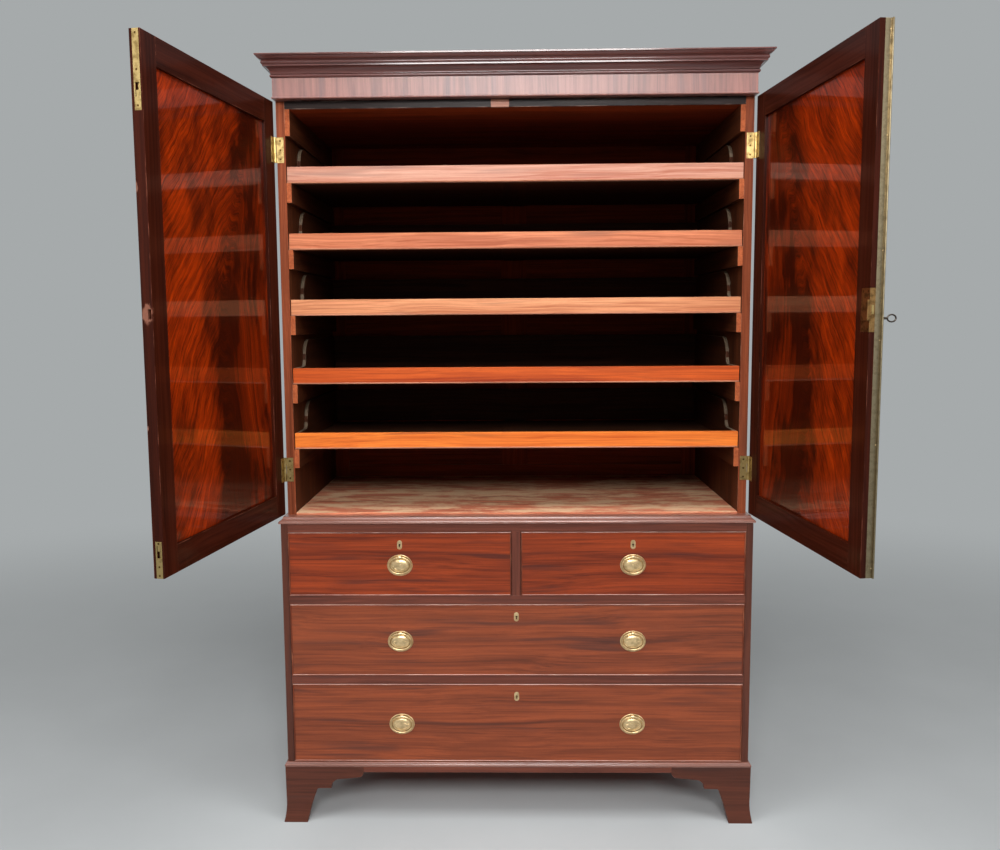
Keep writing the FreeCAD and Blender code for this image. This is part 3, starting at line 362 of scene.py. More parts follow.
# %% The board recipe
SEED_SHIFT = {"X": 31.0, "Y": 17.0, "Z": 9.0}
group, given, made = recipe("where on the board", {}, {
    "Grain place": "vector", "Arris distance": "value", "Seed": "value", "Broken arris": "value"})
place = add(group, "Attribute", {"attribute_name": "place"}).outputs["Vector"]
half = add(group, "Attribute", {"attribute_name": "half"}).outputs["Vector"]
seed = add(group, "Attribute", {"attribute_name": "seed"}).outputs["Fac"]
shift = add(group, "CombineXYZ", **{axis: sums(group, "MULTIPLY", seed, metres)
                                    for axis, metres in SEED_SHIFT.items()}).outputs[0]
fill(made["Grain place"], vectors(group, "ADD", place, shift))
inset = vectors(group, "SUBTRACT", half, vectors(group, "ABSOLUTE", place))
x, y, z = add(group, "SeparateXYZ", Vector=inset).outputs
middle = sums(group, "MAXIMUM", sums(group, "MINIMUM", x, y),
              sums(group, "MINIMUM", sums(group, "MAXIMUM", x, y), z))
fill(made["Arris distance"], middle)
fill(made["Seed"], seed)
fill(made["Broken arris"], add(group, "Attribute", {"attribute_name": "arris"}).outputs["Fac"])
WHERE = group
print("recipe:", group.name, "has", len(group.nodes), "nodes")

# %% [markdown]
# ## Mahogany
#
# Sawn mahogany shows its figure at several sizes: broad dark bands a hand apart, ribbons as wide as
# a finger, long fine streaks, and short open pores. Cloudy dark lenses lie among them, where the
# grain dips. Each is noise that is stretched far along the grain, after a slow wobble has been
# added so that the lines wander up and down. The recipe mixes a light and a dark tone by bands,
# ribbons and streaks, lays the smoky lenses over it and cuts the pores in. It also gives a height,
# so that the pores are felt in the gloss.

# %% The mahogany recipe
WOBBLE = 0.042
WANDER = (1.6, 4, 4)
BANDS, BAND_SHARE = (0.9, 28, 28), 0.3
RIBBONS, RIBBON_SHARE = (2.0, 120, 120), 0.42
STREAKS, STREAK_SHARE = (5, 330, 330), 0.28
PORES, PORE_SHARE = (55, 1500, 1500), 0.35
LENSES = (2.6, 38, 38)
group, given, made = recipe("mahogany", {
    "Light": "colour", "Dark": "colour", "Smoke": "colour", "Smokiness": "value",
    "Figure": "value"}, {"Colour": "colour", "Height": "value", "Streaks": "value"})
spot = use(group, WHERE)["Grain place"]
wobble = sums(group, "SUBTRACT", grainy(group, spot, WANDER, 2), 0.5)
wobble = sums(group, "MULTIPLY", wobble, WOBBLE)
spot = vectors(group, "ADD", spot, add(group, "CombineXYZ", Y=wobble, Z=wobble).outputs[0])
bands = patches(group, spot, BANDS, 0.36, 0.64, 2)
ribbons = patches(group, spot, RIBBONS, 0.36, 0.66, 3, 0.6)
streaks = patches(group, spot, STREAKS, 0.34, 0.7, 3, 0.6)
pores = patches(group, spot, PORES, 0.6, 0.72, 1)
smoke = patches(group, spot, LENSES, 0.54, 0.74, 2)
depth = sums(group, "ADD", sums(group, "MULTIPLY", bands, BAND_SHARE),
             sums(group, "MULTIPLY", ribbons, RIBBON_SHARE))
depth = sums(group, "ADD", depth, sums(group, "MULTIPLY", streaks, STREAK_SHARE))
depth = sums(group, "MULTIPLY", depth, given["Figure"])
colour = blend(group, depth, given["Light"], given["Dark"])
colour = blend(group, sums(group, "MULTIPLY", smoke, given["Smokiness"]), colour, given["Smoke"])
colour = blend(group, sums(group, "MULTIPLY", pores, PORE_SHARE), colour, given["Dark"])
fill(made["Colour"], colour)
fill(made["Height"], sums(group, "SUBTRACT", sums(group, "MULTIPLY", streaks, 0.3), pores))
fill(made["Streaks"], ribbons)
MAHOGANY = group
print("recipe:", group.name, "has", len(group.nodes), "nodes")

# %% [markdown]
# ## Rubbed arrises
#
# Where hands and dusters have passed, the polish is rubbed away from the arrises and paler wood
# shows. The mask is strong on the bevelled flat and dies away within a few millimetres of it, and
# noise breaks it into dashes, because wear is never even. On the cockbeads and the waist and base
# mouldings the pale arrises also stand for a painted highlight.

# %% The rubbed arris recipe
DASHES = (14, 90, 90)
group, given, made = recipe("rubbed arrises", {"Reach": "value", "Amount": "value"},
                            {"Mask": "value"})
board = use(group, WHERE)
near = left_of_one(group, fade(group, board["Arris distance"], 0.0, given["Reach"]))
near = sums(group, "MAXIMUM", near, board["Broken arris"])
patchy = patches(group, board["Grain place"], DASHES, 0.47, 0.66, 4, 0.7)
fill(made["Mask"], sums(group, "MULTIPLY", sums(group, "MULTIPLY", near, patchy), given["Amount"]))
RUBBED = group
print("recipe:", group.name, "has", len(group.nodes), "nodes")

# %% [markdown]
# ## French polish
#
# The press is finished with shellac, rubbed on in many thin coats. It is a clear glossy layer over
# the wood, so the wood's own roughness stays and a coat carries the sharper reflection. One
# function makes every mahogany finish of the press from its tones, because they differ only in
# colour, wear and how well the polish has kept. A blow that has chipped the polish is a mark: an
# oval with a ragged edge and a paler tone.

# %% Start a finish
def shell(name):
    """A new material with an empty Principled shader, and its tree."""
    finish = bpy.data.materials.new(name)
    finish.use_nodes = True
    return finish, finish.node_tree, finish.node_tree.nodes["Principled BSDF"]


def settle(skin, **values):
    """Sets those sockets of a Principled shader that are the same all over."""
    for name, value in values.items():
        skin.inputs[name.replace("_", " ")].default_value = value


def emboss(tree, skin, height, strength, depth):
    """Lets a height be felt in the gloss."""
    bump = add(tree, "Bump", Height=height, Strength=strength, Distance=depth)
    fill(skin.inputs["Normal"], bump.outputs[0])


print("recipes that the finishes can share:", len(bpy.data.node_groups))

# %% A polished mahogany
RAGS = (160, 160, 90)


def marked(tree, colour, marks):
    """A colour with marks on it: each has its middle and half sizes, in metres, and its tone."""
    where = add(tree, "TexCoord").outputs["Object"]
    ragged = sums(tree, "MULTIPLY", grainy(tree, where, RAGS, 3, 0.7), 1.1)
    for middle, half, tone in marks:
        away = vectors(tree, "DIVIDE", vectors(tree, "SUBTRACT", where, middle), half)
        depth = sums(tree, "ADD", vectors(tree, "LENGTH", away), ragged)
        colour = blend(tree, left_of_one(tree, fade(tree, depth, 1.25, 1.6)), colour, tone)
    return colour


def mahogany(name, light, dark, smoke, smokiness=0.5, figure=1.0, wear=0.5, reach=1.6 * MM,
             worn=tint(150, 92, 72), rough=0.42, shine=0.15, coat=0.3, coat_rough=0.2, marks=()):
    """A polished board. shine is the bare wood's own gloss, and coat is the shellac's."""
    finish, tree, skin = shell(name)
    wood = use(tree, MAHOGANY, Light=light, Dark=dark, Smoke=smoke, Smokiness=smokiness,
               Figure=figure)
    rubbed = use(tree, RUBBED, Reach=reach, Amount=wear)["Mask"]
    fill(skin.inputs["Base Color"], marked(tree, blend(tree, rubbed, wood["Colour"], worn), marks))
    roughness = sums(tree, "ADD", sums(tree, "MULTIPLY", wood["Streaks"], 0.1), rough)
    roughness = sums(tree, "ADD", roughness, sums(tree, "MULTIPLY", rubbed, 0.25))
    fill(skin.inputs["Roughness"], roughness)
    emboss(tree, skin, wood["Height"], 0.1, 0.2 * MM)
    settle(skin, Specular_IOR_Level=shine, Coat_Weight=coat, Coat_Roughness=coat_rough)
    return finish


print("the ragged edge of a mark repeats", RAGS[0], "times in a metre across")

# %% The finishes of the carcase, the drawers and the doors
STRUCK = (
    ((-0.722, -0.581, 1.377), (0.012, 0.008, 0.022), tint(128, 82, 66)),
    ((-0.733, -0.578, 1.150), (0.003, 0.004, 0.007), tint(130, 90, 76)),
    ((-0.733, -0.578, 1.62), (0.004, 0.004, 0.012), tint(120, 80, 66)))
FINISH = {
    "carcase_wood": mahogany(
        "polished carcase", tint(118, 62, 46), tint(76, 38, 28), tint(70, 44, 40)),
    "chest_wood": mahogany(
        "polished chest side", tint(98, 50, 34), tint(62, 30, 20), tint(58, 38, 34),
        worn=tint(140, 100, 84)),
    "drawer_wood": mahogany(
        "polished drawer front", tint(160, 64, 24), tint(84, 28, 12), tint(60, 32, 28),
        smokiness=0.6),
    "long_drawer_wood": mahogany(
        "polished long drawer front", tint(152, 74, 42), tint(88, 42, 26), tint(66, 42, 38),
        smokiness=0.55),
    "door_frame_wood": mahogany(
        "polished door frame", tint(66, 24, 12), tint(32, 9, 4), tint(46, 18, 12), wear=0.35,
        shine=0.03, coat=0.15, coat_rough=0.14),
    "struck_frame_wood": mahogany(
        "struck door frame", tint(66, 24, 12), tint(32, 9, 4), tint(46, 18, 12), shine=0.03,
        coat=0.15, coat_rough=0.14, marks=STRUCK),
}
print("finishes so far:", sorted(FINISH))

# %% The finishes of beads, mouldings and worn edges, some with painted highlights
FINISH |= {
    "panel_edge_wood": mahogany(
        "worn panel moulding", tint(72, 26, 14), tint(34, 10, 6), tint(46, 18, 12), wear=1.0,
        reach=1.0 * MM, worn=tint(196, 132, 92), shine=0.05, coat=0.2),
    # The cockbeads' strong pale arris wear is partly real wear and partly a painted glint along the beads.
    "cockbead_wood": mahogany(
        "polished cockbead", tint(136, 62, 34), tint(86, 36, 20), tint(70, 40, 34), wear=0.8,
        worn=tint(196, 132, 100)),
    # The cockbeads' upward faces are much paler: a painted highlight where the overhead lamp falls on them.
    "rubbed_bead_wood": mahogany(
        "rubbed cockbead", tint(206, 160, 146), tint(150, 96, 78), tint(120, 80, 70), wear=0.8,
        worn=tint(236, 214, 204), coat=1.0),
    "tray_bead_wood": mahogany(
        "pale tray bead", tint(204, 140, 110), tint(150, 86, 60), tint(120, 70, 50), shine=0.1,
        coat=0.1),
    # The panel moulding's faces that look up or out to the front are paler: a painted highlight where the lamps
    # fall.
    "rubbed_edge_wood": mahogany(
        "rubbed panel moulding", tint(150, 82, 52), tint(96, 46, 30), tint(90, 50, 36), wear=1.0,
        worn=tint(210, 160, 110), shine=0.1, coat=0.2),
    "cornice_wood": mahogany(
        "polished cornice", tint(100, 54, 48), tint(54, 27, 24), tint(74, 50, 52), coat=1.0,
        coat_rough=0.13, worn=tint(190, 150, 140)),
    # The frieze's pale greyish tones are partly the veneer and partly a painted reflection of the room's light.
    "frieze_wood": mahogany(
        "polished frieze", tint(150, 98, 88), tint(92, 64, 60), tint(92, 72, 74), coat=1.0,
        coat_rough=0.36, wear=0.3, figure=0.75),
    # The waist and base mouldings are lightened, and their pale arrises are partly wear and partly a painted
    # highlight of the lamp.
    "moulding_wood": mahogany(
        "polished moulding", tint(154, 100, 84), tint(104, 62, 50), tint(116, 82, 74), coat=1.0,
        coat_rough=0.14, shine=0.4, rough=0.36, wear=0.7, reach=1.8 * MM,
        worn=tint(204, 168, 154)),
    "case_edge_wood": mahogany(
        "worn case edge", tint(156, 80, 50), tint(94, 44, 26), tint(84, 52, 42), wear=0.8,
        shine=0.05, coat=0.1, worn=tint(186, 124, 96)),
    "top_edge_wood": mahogany(
        "grimy top edge", tint(58, 46, 42), tint(34, 27, 26), tint(70, 64, 64), wear=1.0,
        reach=2.5 * MM, worn=tint(150, 124, 112), shine=0.05, coat=0.05),
    "patch_wood": mahogany(
        "pale let-in patch", tint(186, 128, 104), tint(140, 84, 64), tint(120, 80, 64),
        shine=0.1, coat=0.1),
}
print("finishes so far:", len(FINISH))

# %% [markdown]
# ## Flame mahogany
#
# The door panels are cut from the crotch of the tree, where a branch leaves the trunk. The grain
# there rises to a heart in nested arrowheads, like a flame. Along one line of an arrowhead, `height
# + slope * distance from the heart` stays the same number. Noise that reads that number across the
# lines and hardly changes along them draws the whole flame. The lines are steeper on the hinge side
# than towards the meeting stile, and the heart leans to the hinges as it rises. The two panels were
# cut as neighbours and opened like a book, so the recipe takes a hand, 1 or -1, that turns it over.

# %% The lines of the flame
FLAME_HEART = -0.03
HEART_LEAN = 0.13
HEART_WIDTH = 0.04
SLOPE_OUTER = 1.5
SLOPE_INNER = 6.5
TIP = 0.02
group, given, made = recipe("flame", {
    "Light": "colour", "Mid": "colour", "Dark": "colour", "Hand": "value"}, {
    "Colour": "colour", "Height": "value"})
board = use(group, WHERE)
place = add(group, "Attribute", {"attribute_name": "place"}).outputs["Vector"]
up, out = add(group, "SeparateXYZ", Vector=place).outputs[:2]
out = sums(group, "MULTIPLY", out, given["Hand"])
slow = sums(group, "SUBTRACT", grainy(group, board["Grain place"], (3, 3.5, 4), 2), 0.5)
curl = sums(group, "SUBTRACT", grainy(group, board["Grain place"], (10, 13, 4), 3), 0.5)
lean = sums(group, "MULTIPLY", fade(group, up, -0.1, 0.5), HEART_LEAN)
across = sums(group, "ADD", sums(group, "SUBTRACT", out, FLAME_HEART), lean)
across = sums(group, "ADD", across, sums(group, "MULTIPLY", slow, 0.1))
across = sums(group, "ADD", across, sums(group, "MULTIPLY", curl, 0.03))
slope = add(group, "MapRange", Value=across, From_Min=-HEART_WIDTH, From_Max=HEART_WIDTH,
            To_Min=SLOPE_INNER, To_Max=SLOPE_OUTER).outputs["Result"]
flank = sums(group, "SQRT", sums(group, "ADD", sums(group, "MULTIPLY", across, across), TIP * TIP))
arch = sums(group, "ADD", up, sums(group, "MULTIPLY", slope, flank))
line = add(group, "CombineXYZ", X=arch, Y=across,
           Z=sums(group, "MULTIPLY", board["Seed"], SEED_SHIFT["Z"])).outputs[0]
print("the flame's heart lies", FLAME_HEART, "m off the panel's middle")

# %% The tones of the flame
plumes = patches(group, line, (9, 6, 1), 0.36, 0.7, 4, 0.66)
feathers = patches(group, line, (70, 16, 1), 0.3, 0.72, 4, 0.7)
hairs = patches(group, line, (260, 22, 1), 0.47, 0.64, 3, 0.65)
clouds = patches(group, board["Grain place"], (5, 10, 8), 0.42, 0.64, 5, 0.62)
heart = left_of_one(group, fade(group, sums(group, "ABSOLUTE", across), 0.01, 0.11))
low = left_of_one(group, fade(group, up, -0.4, 0.35))
inner = left_of_one(group, fade(group, across, -0.02, 0.18))
darkness = sums(group, "ADD", sums(group, "MULTIPLY", low, 0.25), 0.2)
darkness = sums(group, "MULTIPLY", heart, darkness)
for share, amount in ((plumes, 0.36), (inner, 0.34), (clouds, 0.42)):
    darkness = sums(group, "ADD", darkness, sums(group, "MULTIPLY", share, amount))
colour = blend(group, feathers, given["Light"], given["Mid"])
colour = blend(group, sums(group, "MINIMUM", darkness, 0.9), colour, given["Dark"])
colour = blend(group, sums(group, "MULTIPLY", hairs, 0.5), colour, given["Dark"])
fill(made["Colour"], colour)
fill(made["Height"], hairs)
FLAME = group
print("recipe:", group.name, "has", len(group.nodes), "nodes")

# %% The panels' finish
for side, hand in (("left", 1), ("right", -1)):
    finish, tree, skin = shell("polished flame panel " + side)
    flame = use(tree, FLAME, Light=tint(184, 58, 5), Mid=tint(110, 26, 3), Dark=tint(24, 5, 2),
                Hand=hand)
    fill(skin.inputs["Base Color"], flame["Colour"])
    settle(skin, Roughness=0.4, Specular_IOR_Level=0.05, Coat_Weight=0.7, Coat_Roughness=0.05)
    FINISH[side + "_flame"] = finish
print("finishes so far:", len(FINISH))

# %% [markdown]
# ## Dust
#
# Dust lies on whatever looks up. It follows the surface's normal: the more a face points at the
# ceiling, the more it holds, and noise makes it patchy. It could be a layer of its own over the
# boards, but a mask that blends a dusty colour in is lighter and fits every board.

# %% The dust recipe
DRIFTS = (9, 26, 9)
group, given, made = recipe("dust", {"Amount": "value"}, {"Mask": "value"})
normal = add(group, "NewGeometry").outputs["Normal"]
upward = fade(group, add(group, "SeparateXYZ", Vector=normal).outputs["Z"], 0.5, 0.95)
patchy = patches(group, add(group, "TexCoord").outputs["Object"], DRIFTS, 0.42, 0.58, 7, 0.72)
dusty = sums(group, "MULTIPLY", sums(group, "MULTIPLY", upward, patchy), given["Amount"])
fill(made["Mask"], dusty)
DUST = group
print("recipe:", group.name, "has", len(group.nodes), "nodes")

# %% [markdown]
# ## Bare wood inside
#
# Nobody polished what the doors hide. The inside is raw wood gone dark and dull with age, so its
# finish has no coat. The case's inner sides, the runners' sides and the tray and drawer boxes are
# darker still, partly as old wood and partly as painted shade, where little light reaches. The
# upward faces of the tray sides are paler, partly as painted light from above. These finishes share
# the recipes for mahogany, rubbed arrises and dust. The floor board under the trays is the palest,
# scrubbed by a lifetime of linen. The trays' fronts were polished once, and each has faded in its
# own way.

# %% The bare woods
def bare(name, light, dark, dust=0.5, rub=tint(150, 120, 96), cover=tint(110, 84, 66),
         reach=1.2 * MM):
    """Unpolished wood: rub is the tone of its rubbed arrises, and cover is the dust's."""
    finish, tree, skin = shell(name)
    wood = use(tree, MAHOGANY, Light=light, Dark=dark, Smoke=dark, Smokiness=0.5, Figure=0.9)
    rubbed = use(tree, RUBBED, Reach=reach, Amount=0.5)["Mask"]
    dusty = use(tree, DUST, Amount=dust)["Mask"]
    colour = blend(tree, rubbed, wood["Colour"], rub)
    fill(skin.inputs["Base Color"], blend(tree, dusty, colour, cover))
    fill(skin.inputs["Roughness"], sums(tree, "ADD", sums(tree, "MULTIPLY", dusty, 0.25), 0.6))
    emboss(tree, skin, wood["Height"], 0.3, 0.3 * MM)
    settle(skin, Specular_IOR_Level=0.1)
    return finish


FINISH |= {
    "interior_wood": bare("bare inner wood", tint(164, 64, 26), tint(90, 32, 12), dust=0.2),
    # The case's inner sides are dark partly as old wood and partly as painted shade inside the case.
    "inner_side_wood": bare("bare case side", tint(100, 52, 28), tint(56, 26, 13), dust=0.1),
    "runner_wood": bare("runner wood", tint(196, 106, 64), tint(132, 62, 36), dust=0.1),
    "floor_wood": bare("worn floor board", tint(236, 150, 114), tint(140, 62, 42), dust=0.8,
                       rub=tint(250, 218, 178), cover=tint(230, 196, 156), reach=4.5 * MM),
    "outer_back_wood": bare("dusty outer back", tint(128, 88, 62), tint(80, 50, 34), dust=0.75,
                            rub=tint(160, 128, 100), cover=tint(126, 106, 88)),
    # The tray sides' upward faces are paler than the box wood: partly wear, partly painted light from above.
    "rim_wood": bare("worn tray rim", tint(128, 112, 94), tint(88, 72, 56), dust=0.2),
    # The tray and drawer boxes are dark partly as old wood and partly as painted shade inside the case.
    "box_wood": bare("tray and drawer box wood", tint(84, 44, 24), tint(46, 22, 12), dust=0.3,
                     rub=tint(176, 158, 132)),
}
print("finishes so far:", len(FINISH))

# %% The five faded tray fronts
TRAY_TONES = (
    (tint(218, 166, 142), tint(178, 104, 80), tint(150, 108, 96)),
    (tint(228, 144, 102), tint(170, 86, 54), tint(150, 92, 70)),
    (tint(242, 170, 122), tint(180, 102, 66), tint(150, 106, 84)),
    (tint(218, 98, 36), tint(150, 50, 16), tint(128, 58, 34)),
    (tint(252, 142, 56), tint(202, 86, 28), tint(174, 88, 46)))
TRAYS = ["tray_%d" % number for number in range(1, len(TRAY_TONES) + 1)]
for number, (node, tones) in enumerate(zip(TRAYS, TRAY_TONES), 1):
    FINISH[node] = mahogany("tray front %d" % number, *tones, smokiness=0.7, wear=0.3, coat=0.15,
                            coat_rough=0.35, rough=0.45, figure=1.1)
print("finishes so far:", len(FINISH))

# %% [markdown]
# ## Brass and iron
#
# Old brass is bright on what hands and polish reach and brown in the hollows. A metal's look is
# mostly what it mirrors, so a stain only darkens its colour and roughens it a little. Hollows are
# found by the shader's Pointiness, which compares each spot with its neighbours. The iron pieces
# are darker and more pitted.

# %% The tarnish recipe and the metals
STAINS = (70, 70, 70)
PITS = (900, 900, 900)
group, given, made = recipe("tarnish", {"Bright": "colour", "Dull": "colour", "Amount": "value"}, {
    "Colour": "colour", "Roughness": "value", "Height": "value"})
where = add(group, "TexCoord").outputs["Object"]
stained = sums(group, "MULTIPLY", patches(group, where, STAINS, 0.4, 0.68, 4, 0.6), given["Amount"])
bend = add(group, "NewGeometry").outputs["Pointiness"]
hollow = left_of_one(group, fade(group, bend, 0.42, 0.5))
stained = sums(group, "MAXIMUM", stained, sums(group, "MULTIPLY", hollow, 0.85))
fill(made["Colour"], blend(group, stained, given["Bright"], given["Dull"]))
fill(made["Roughness"], sums(group, "ADD", sums(group, "MULTIPLY", stained, 0.2), 0.34))
fill(made["Height"], grainy(group, where, PITS, 2))
TARNISH = group


def metal(name, bright, dull, amount, bump=0.08):
    """An old metal: amount is how far it has tarnished from bright to dull."""
    finish, tree, skin = shell(name)
    old = use(tree, TARNISH, Bright=bright, Dull=dull, Amount=amount)
    fill(skin.inputs["Base Color"], old["Colour"])
    fill(skin.inputs["Roughness"], old["Roughness"])
    emboss(tree, skin, old["Height"], bump, 0.2 * MM)
    settle(skin, Metallic=1.0)
    return finish


FINISH |= {
    "handle_brass": metal("handle brass", tint(232, 204, 156), tint(138, 106, 62), 0.5),
    "hinge_brass": metal("hinge brass", tint(192, 166, 110), tint(108, 84, 46), 0.75),
    "astragal_brass": metal("dull strip brass", tint(154, 140, 112), tint(116, 102, 78), 0.7,
                            bump=0.1),
    "lock_brass": metal("aged lock brass", tint(158, 122, 76), tint(76, 52, 26), 0.85),
    "screw_brass": metal("dark screws", tint(104, 78, 40), tint(48, 34, 20), 0.7),
    "steel": metal("dark iron", tint(84, 76, 70), tint(46, 36, 30), 0.7, bump=0.3),
}
print("finishes in all:", len(FINISH))

# %% [markdown]
# ## Dress the woodwork
#
# Each node gets its finish by the material slot that the frame's record names for it. A few need
# more: veneer on the frieze runs upright, a drawer is polished in front and bare behind, and a
# door's panel carries a planted moulding that belongs with its frame. `keep` picks boards by their
# box, so one node can be dressed as two pieces, and a piece can have a second finish on the faces
# that a test accepts, such as those that look back or up.

# %% Which nodes are plain
METALS = ("handle_brass", "hinge_brass", "steel")
DRAWERS = sorted(node for node in BODY if node.endswith("_drawer"))
SPECIAL = {"frieze", "upper_sides", "upper_top", "upper_floor", "tray_runners", "left_door_panel",
           "right_door_panel", *TRAYS, *DRAWERS}
PLAIN = [node for node in sorted(BODY) if SLOT[node] not in METALS and node not in SPECIAL]
OWN_KEYS = {"left_door_frame": "struck_frame_wood", "chest_sides": "chest_wood"}


def finish_piece(piece, key, second=None, where=None):
    """Gives a piece its finish, and a second one to the faces that where accepts."""
    piece.data.materials.clear()
    piece.data.materials.append(FINISH[key])
    if second:
        piece.data.materials.append(FINISH[second])
        for face in piece.data.polygons:
            face.material_index = int(where(face))
    return piece


print("plain wooden nodes:", len(PLAIN))

# %% Dress the plain nodes
for node in PLAIN:
    # Mouldings take the lightened finish, partly a painted highlight.
    key = "moulding_wood" if node.endswith("_moulding") else OWN_KEYS.get(node, SLOT[node])
    foot = node.endswith("_feet")
    if key != "interior_wood":
        finish_piece(dressed(node), "chest_wood" if foot else key)
    elif foot:
        finish_piece(dressed(node), "chest_wood", "outer_back_wood",
                     lambda face: face.normal.y > 0.5)
    else:
        finish_piece(dressed(node), key, "outer_back_wood",
                     lambda face: max(face.normal.y, face.normal.z) > 0.5)
print("moulded nodes:", [node for node in PLAIN if node.endswith("_moulding")])

# %% The frieze, the case's shown edges, the floor board and the runners
ALONG_Z = 2
CASE_BOARD = 21 * MM
EDGE_DEPTH = 2 * MM
WIDE_BOARD = 100 * MM
SIDE_OUTSIDE = 2
inner_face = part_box("upper_sides")[1].x - CASE_BOARD
edge_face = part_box("upper_sides")[0].y + EDGE_DEPTH
# The frieze's pale tones are partly a painted reflection.
finish_piece(dressed("frieze", grain=ALONG_Z), "frieze_wood")
sides = finish_piece(dressed("upper_sides"), "case_edge_wood", "inner_side_wood",
                     lambda face: abs(face.center.x) < inner_face and face.center.y > edge_face)
sides.data.materials.append(FINISH["chest_wood"])
for face in sides.data.polygons:
    outward = face.normal.x * face.center.x > 0 and abs(face.normal.x) > 0.9
    if outward and abs(face.center.x) > inner_face:
        face.material_index = SIDE_OUTSIDE
finish_piece(dressed("upper_floor"), "floor_wood")
# The runners' sides are darker than their front ends: painted shade inside the case.
finish_piece(dressed("tray_runners"), "inner_side_wood", "runner_wood",
             lambda face: face.normal.y < -0.5)
finish_piece(dressed("upper_top", keep=lambda low, high: high.x - low.x > WIDE_BOARD,
                     name="upper_top_board"),
             "interior_wood", "top_edge_wood", lambda face: face.normal.y < -0.5)
finish_piece(dressed("upper_top", keep=lambda low, high: high.x - low.x < WIDE_BOARD,
                     name="upper_top_patch"), "patch_wood")
print("from the middle to the inner side:", round(inner_face, 4), "m")

# %% Trays and drawers: a shown front with its beads, and a bare box behind
BEAD_WIDTH = 6 * MM
FRONT_DEPTH = {"tray": 20 * MM, "drawer": 24 * MM}
TRAY_SIDE = 20 * MM


def thin(low, high):
    """Whether a board is a bead, by its box."""
    return min(high.x - low.x, high.z - low.z) < BEAD_WIDTH


def front_and_box(node, kind, beads):
    """Dresses a tray or a drawer as three pieces: its front, its beads and its box."""
    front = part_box(node)[0].y + FRONT_DEPTH[kind]
    return (dressed(node, keep=lambda low, high: high.y < front and not thin(low, high),
                    name=node + "_front"),
            dressed(node, keep=lambda low, high: high.y < front and thin(low, high),
                    name=node + beads),
            dressed(node, keep=lambda low, high: high.y >= front, name=node + "_box"))


tray_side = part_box("tray_1")[1].x - TRAY_SIDE
for node in TRAYS:
    front, bead, box = front_and_box(node, "tray", "_bead")
    finish_piece(front, node)
    finish_piece(bead, "tray_bead_wood")
    # Upward faces of the tray sides take the paler finish, partly as painted light.
    finish_piece(box, "box_wood", "rim_wood",
                 lambda face: face.normal.z > 0.2 and abs(face.center.x) > tray_side)
for node in DRAWERS:
    front, beads, box = front_and_box(node, "drawer", "_beads")
    finish_piece(front, "drawer_wood" if node.startswith("top") else "long_drawer_wood")
    # The beads' faces that look up take the pale finish as a painted highlight.
    finish_piece(beads, "cockbead_wood", "rubbed_bead_wood", lambda face: face.normal.z > 0.5)
    finish_piece(box, "box_wood")
print("trays:", len(TRAYS), "drawers:", len(DRAWERS))

# %% Door panels with upright flame, and the moulding planted round them
PANEL_SLACK = 5 * MM
for side in ("left", "right"):
    node = side + "_door_panel"
    bottom, top = (corner.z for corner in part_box(node))
    tall = top - bottom - PANEL_SLACK
    finish_piece(dressed(node, grain=ALONG_Z, name=side + "_flame_panel", keep=lambda low, high:
                         high.x - low.x > WIDE_BOARD and high.z - low.z > tall), side + "_flame")
    # The moulding's faces that look up or to the front take the pale finish as a painted highlight.
    finish_piece(dressed(node, name=side + "_panel_moulding", keep=lambda low, high:
                         high.x - low.x <= WIDE_BOARD or high.z - low.z <= tall),
                 "panel_edge_wood", "rubbed_edge_wood",
                 lambda face: face.normal.z > 0.5 or face.normal.y < -0.8)
    print(side, "door's panel:", round(top - bottom, 4), "m tall")

# %% The metal nodes that keep the frame's own shape
RINGS = sorted(node for node in BODY if node.endswith("_ring"))
METAL_NODES = [node for node in sorted(BODY) if SLOT[node] in METALS and node not in RINGS]
METAL_KEYS = {"astragal": "astragal_brass", "door_lock_case": "lock_brass"}
PLATE_WIDTH = 60 * MM
for node in METAL_NODES:
    finish_piece(dressed(node, arris=METAL_ARRIS, keep=lambda low, high:
                         high.x - low.x < PLATE_WIDTH or not node.endswith("_fittings")),
                 METAL_KEYS.get(node, SLOT[node]))
print("metal nodes:", len(METAL_NODES))

# %% [markdown]
# ## Stamped handles
#
# Each drawer is pulled by a drop ring that hangs round an oval plate. The plate was stamped from
# thin sheet in an iron die: a beaded rim, a hollow for the ring to lie in, and a domed middle with
# an urn and hanging leaves in low relief. A plate could be carved from a disc, but a die-stamped
# thing is all one profile, so the profile is drawn once from the post at the back to the top of the
# dome, and spun. Spinning makes a circle. The oval comes after, by squeezing the height of each
# point, more in the middle than at the rim, so the dome is slimmer than the plate, as on real ones.

# %% The plate's profile, in millimetres from its middle and out from the drawer
RIM_HALF, RIM_TALL = 34.0, 28.5
DOME_HALF, DOME_TALL = 25.0, 18.0
DOME_LOW, DOME_EDGE = 3, 22
PROFILE = (
    (0, -20), (3, -20), (3, 0), (33.2, 0), (34, 0.35), (34, 1.0), (33.4, 1.6), (32.6, 1.8),
    (31.6, 1.5), (30.8, 0.9), (29.8, 0.7), (27.2, 0.7), (26.3, 1.0), (25.7, 1.8), (25.4, 2.9),
    (25, 3.7), (24.3, 4.1), (23.5, 4.0), (22.8, 3.5), (22, 3.5), (20.5, 4.2), (17.5, 5.2),
    (13.5, 6.0), (9, 6.5), (4.5, 6.75), (0, 6.8))
DOME = [(radius, high) for radius, high in PROFILE if high > DOME_LOW and radius <= DOME_EDGE][::-1]


def squeezed(radius):
    """The half height of the oval whose half width is radius, millimetres."""
    if radius < DOME_HALF:
        return radius * DOME_TALL / DOME_HALF
    slope = (RIM_TALL - DOME_TALL) / (RIM_HALF - DOME_HALF)
    return DOME_TALL + (radius - DOME_HALF) * slope


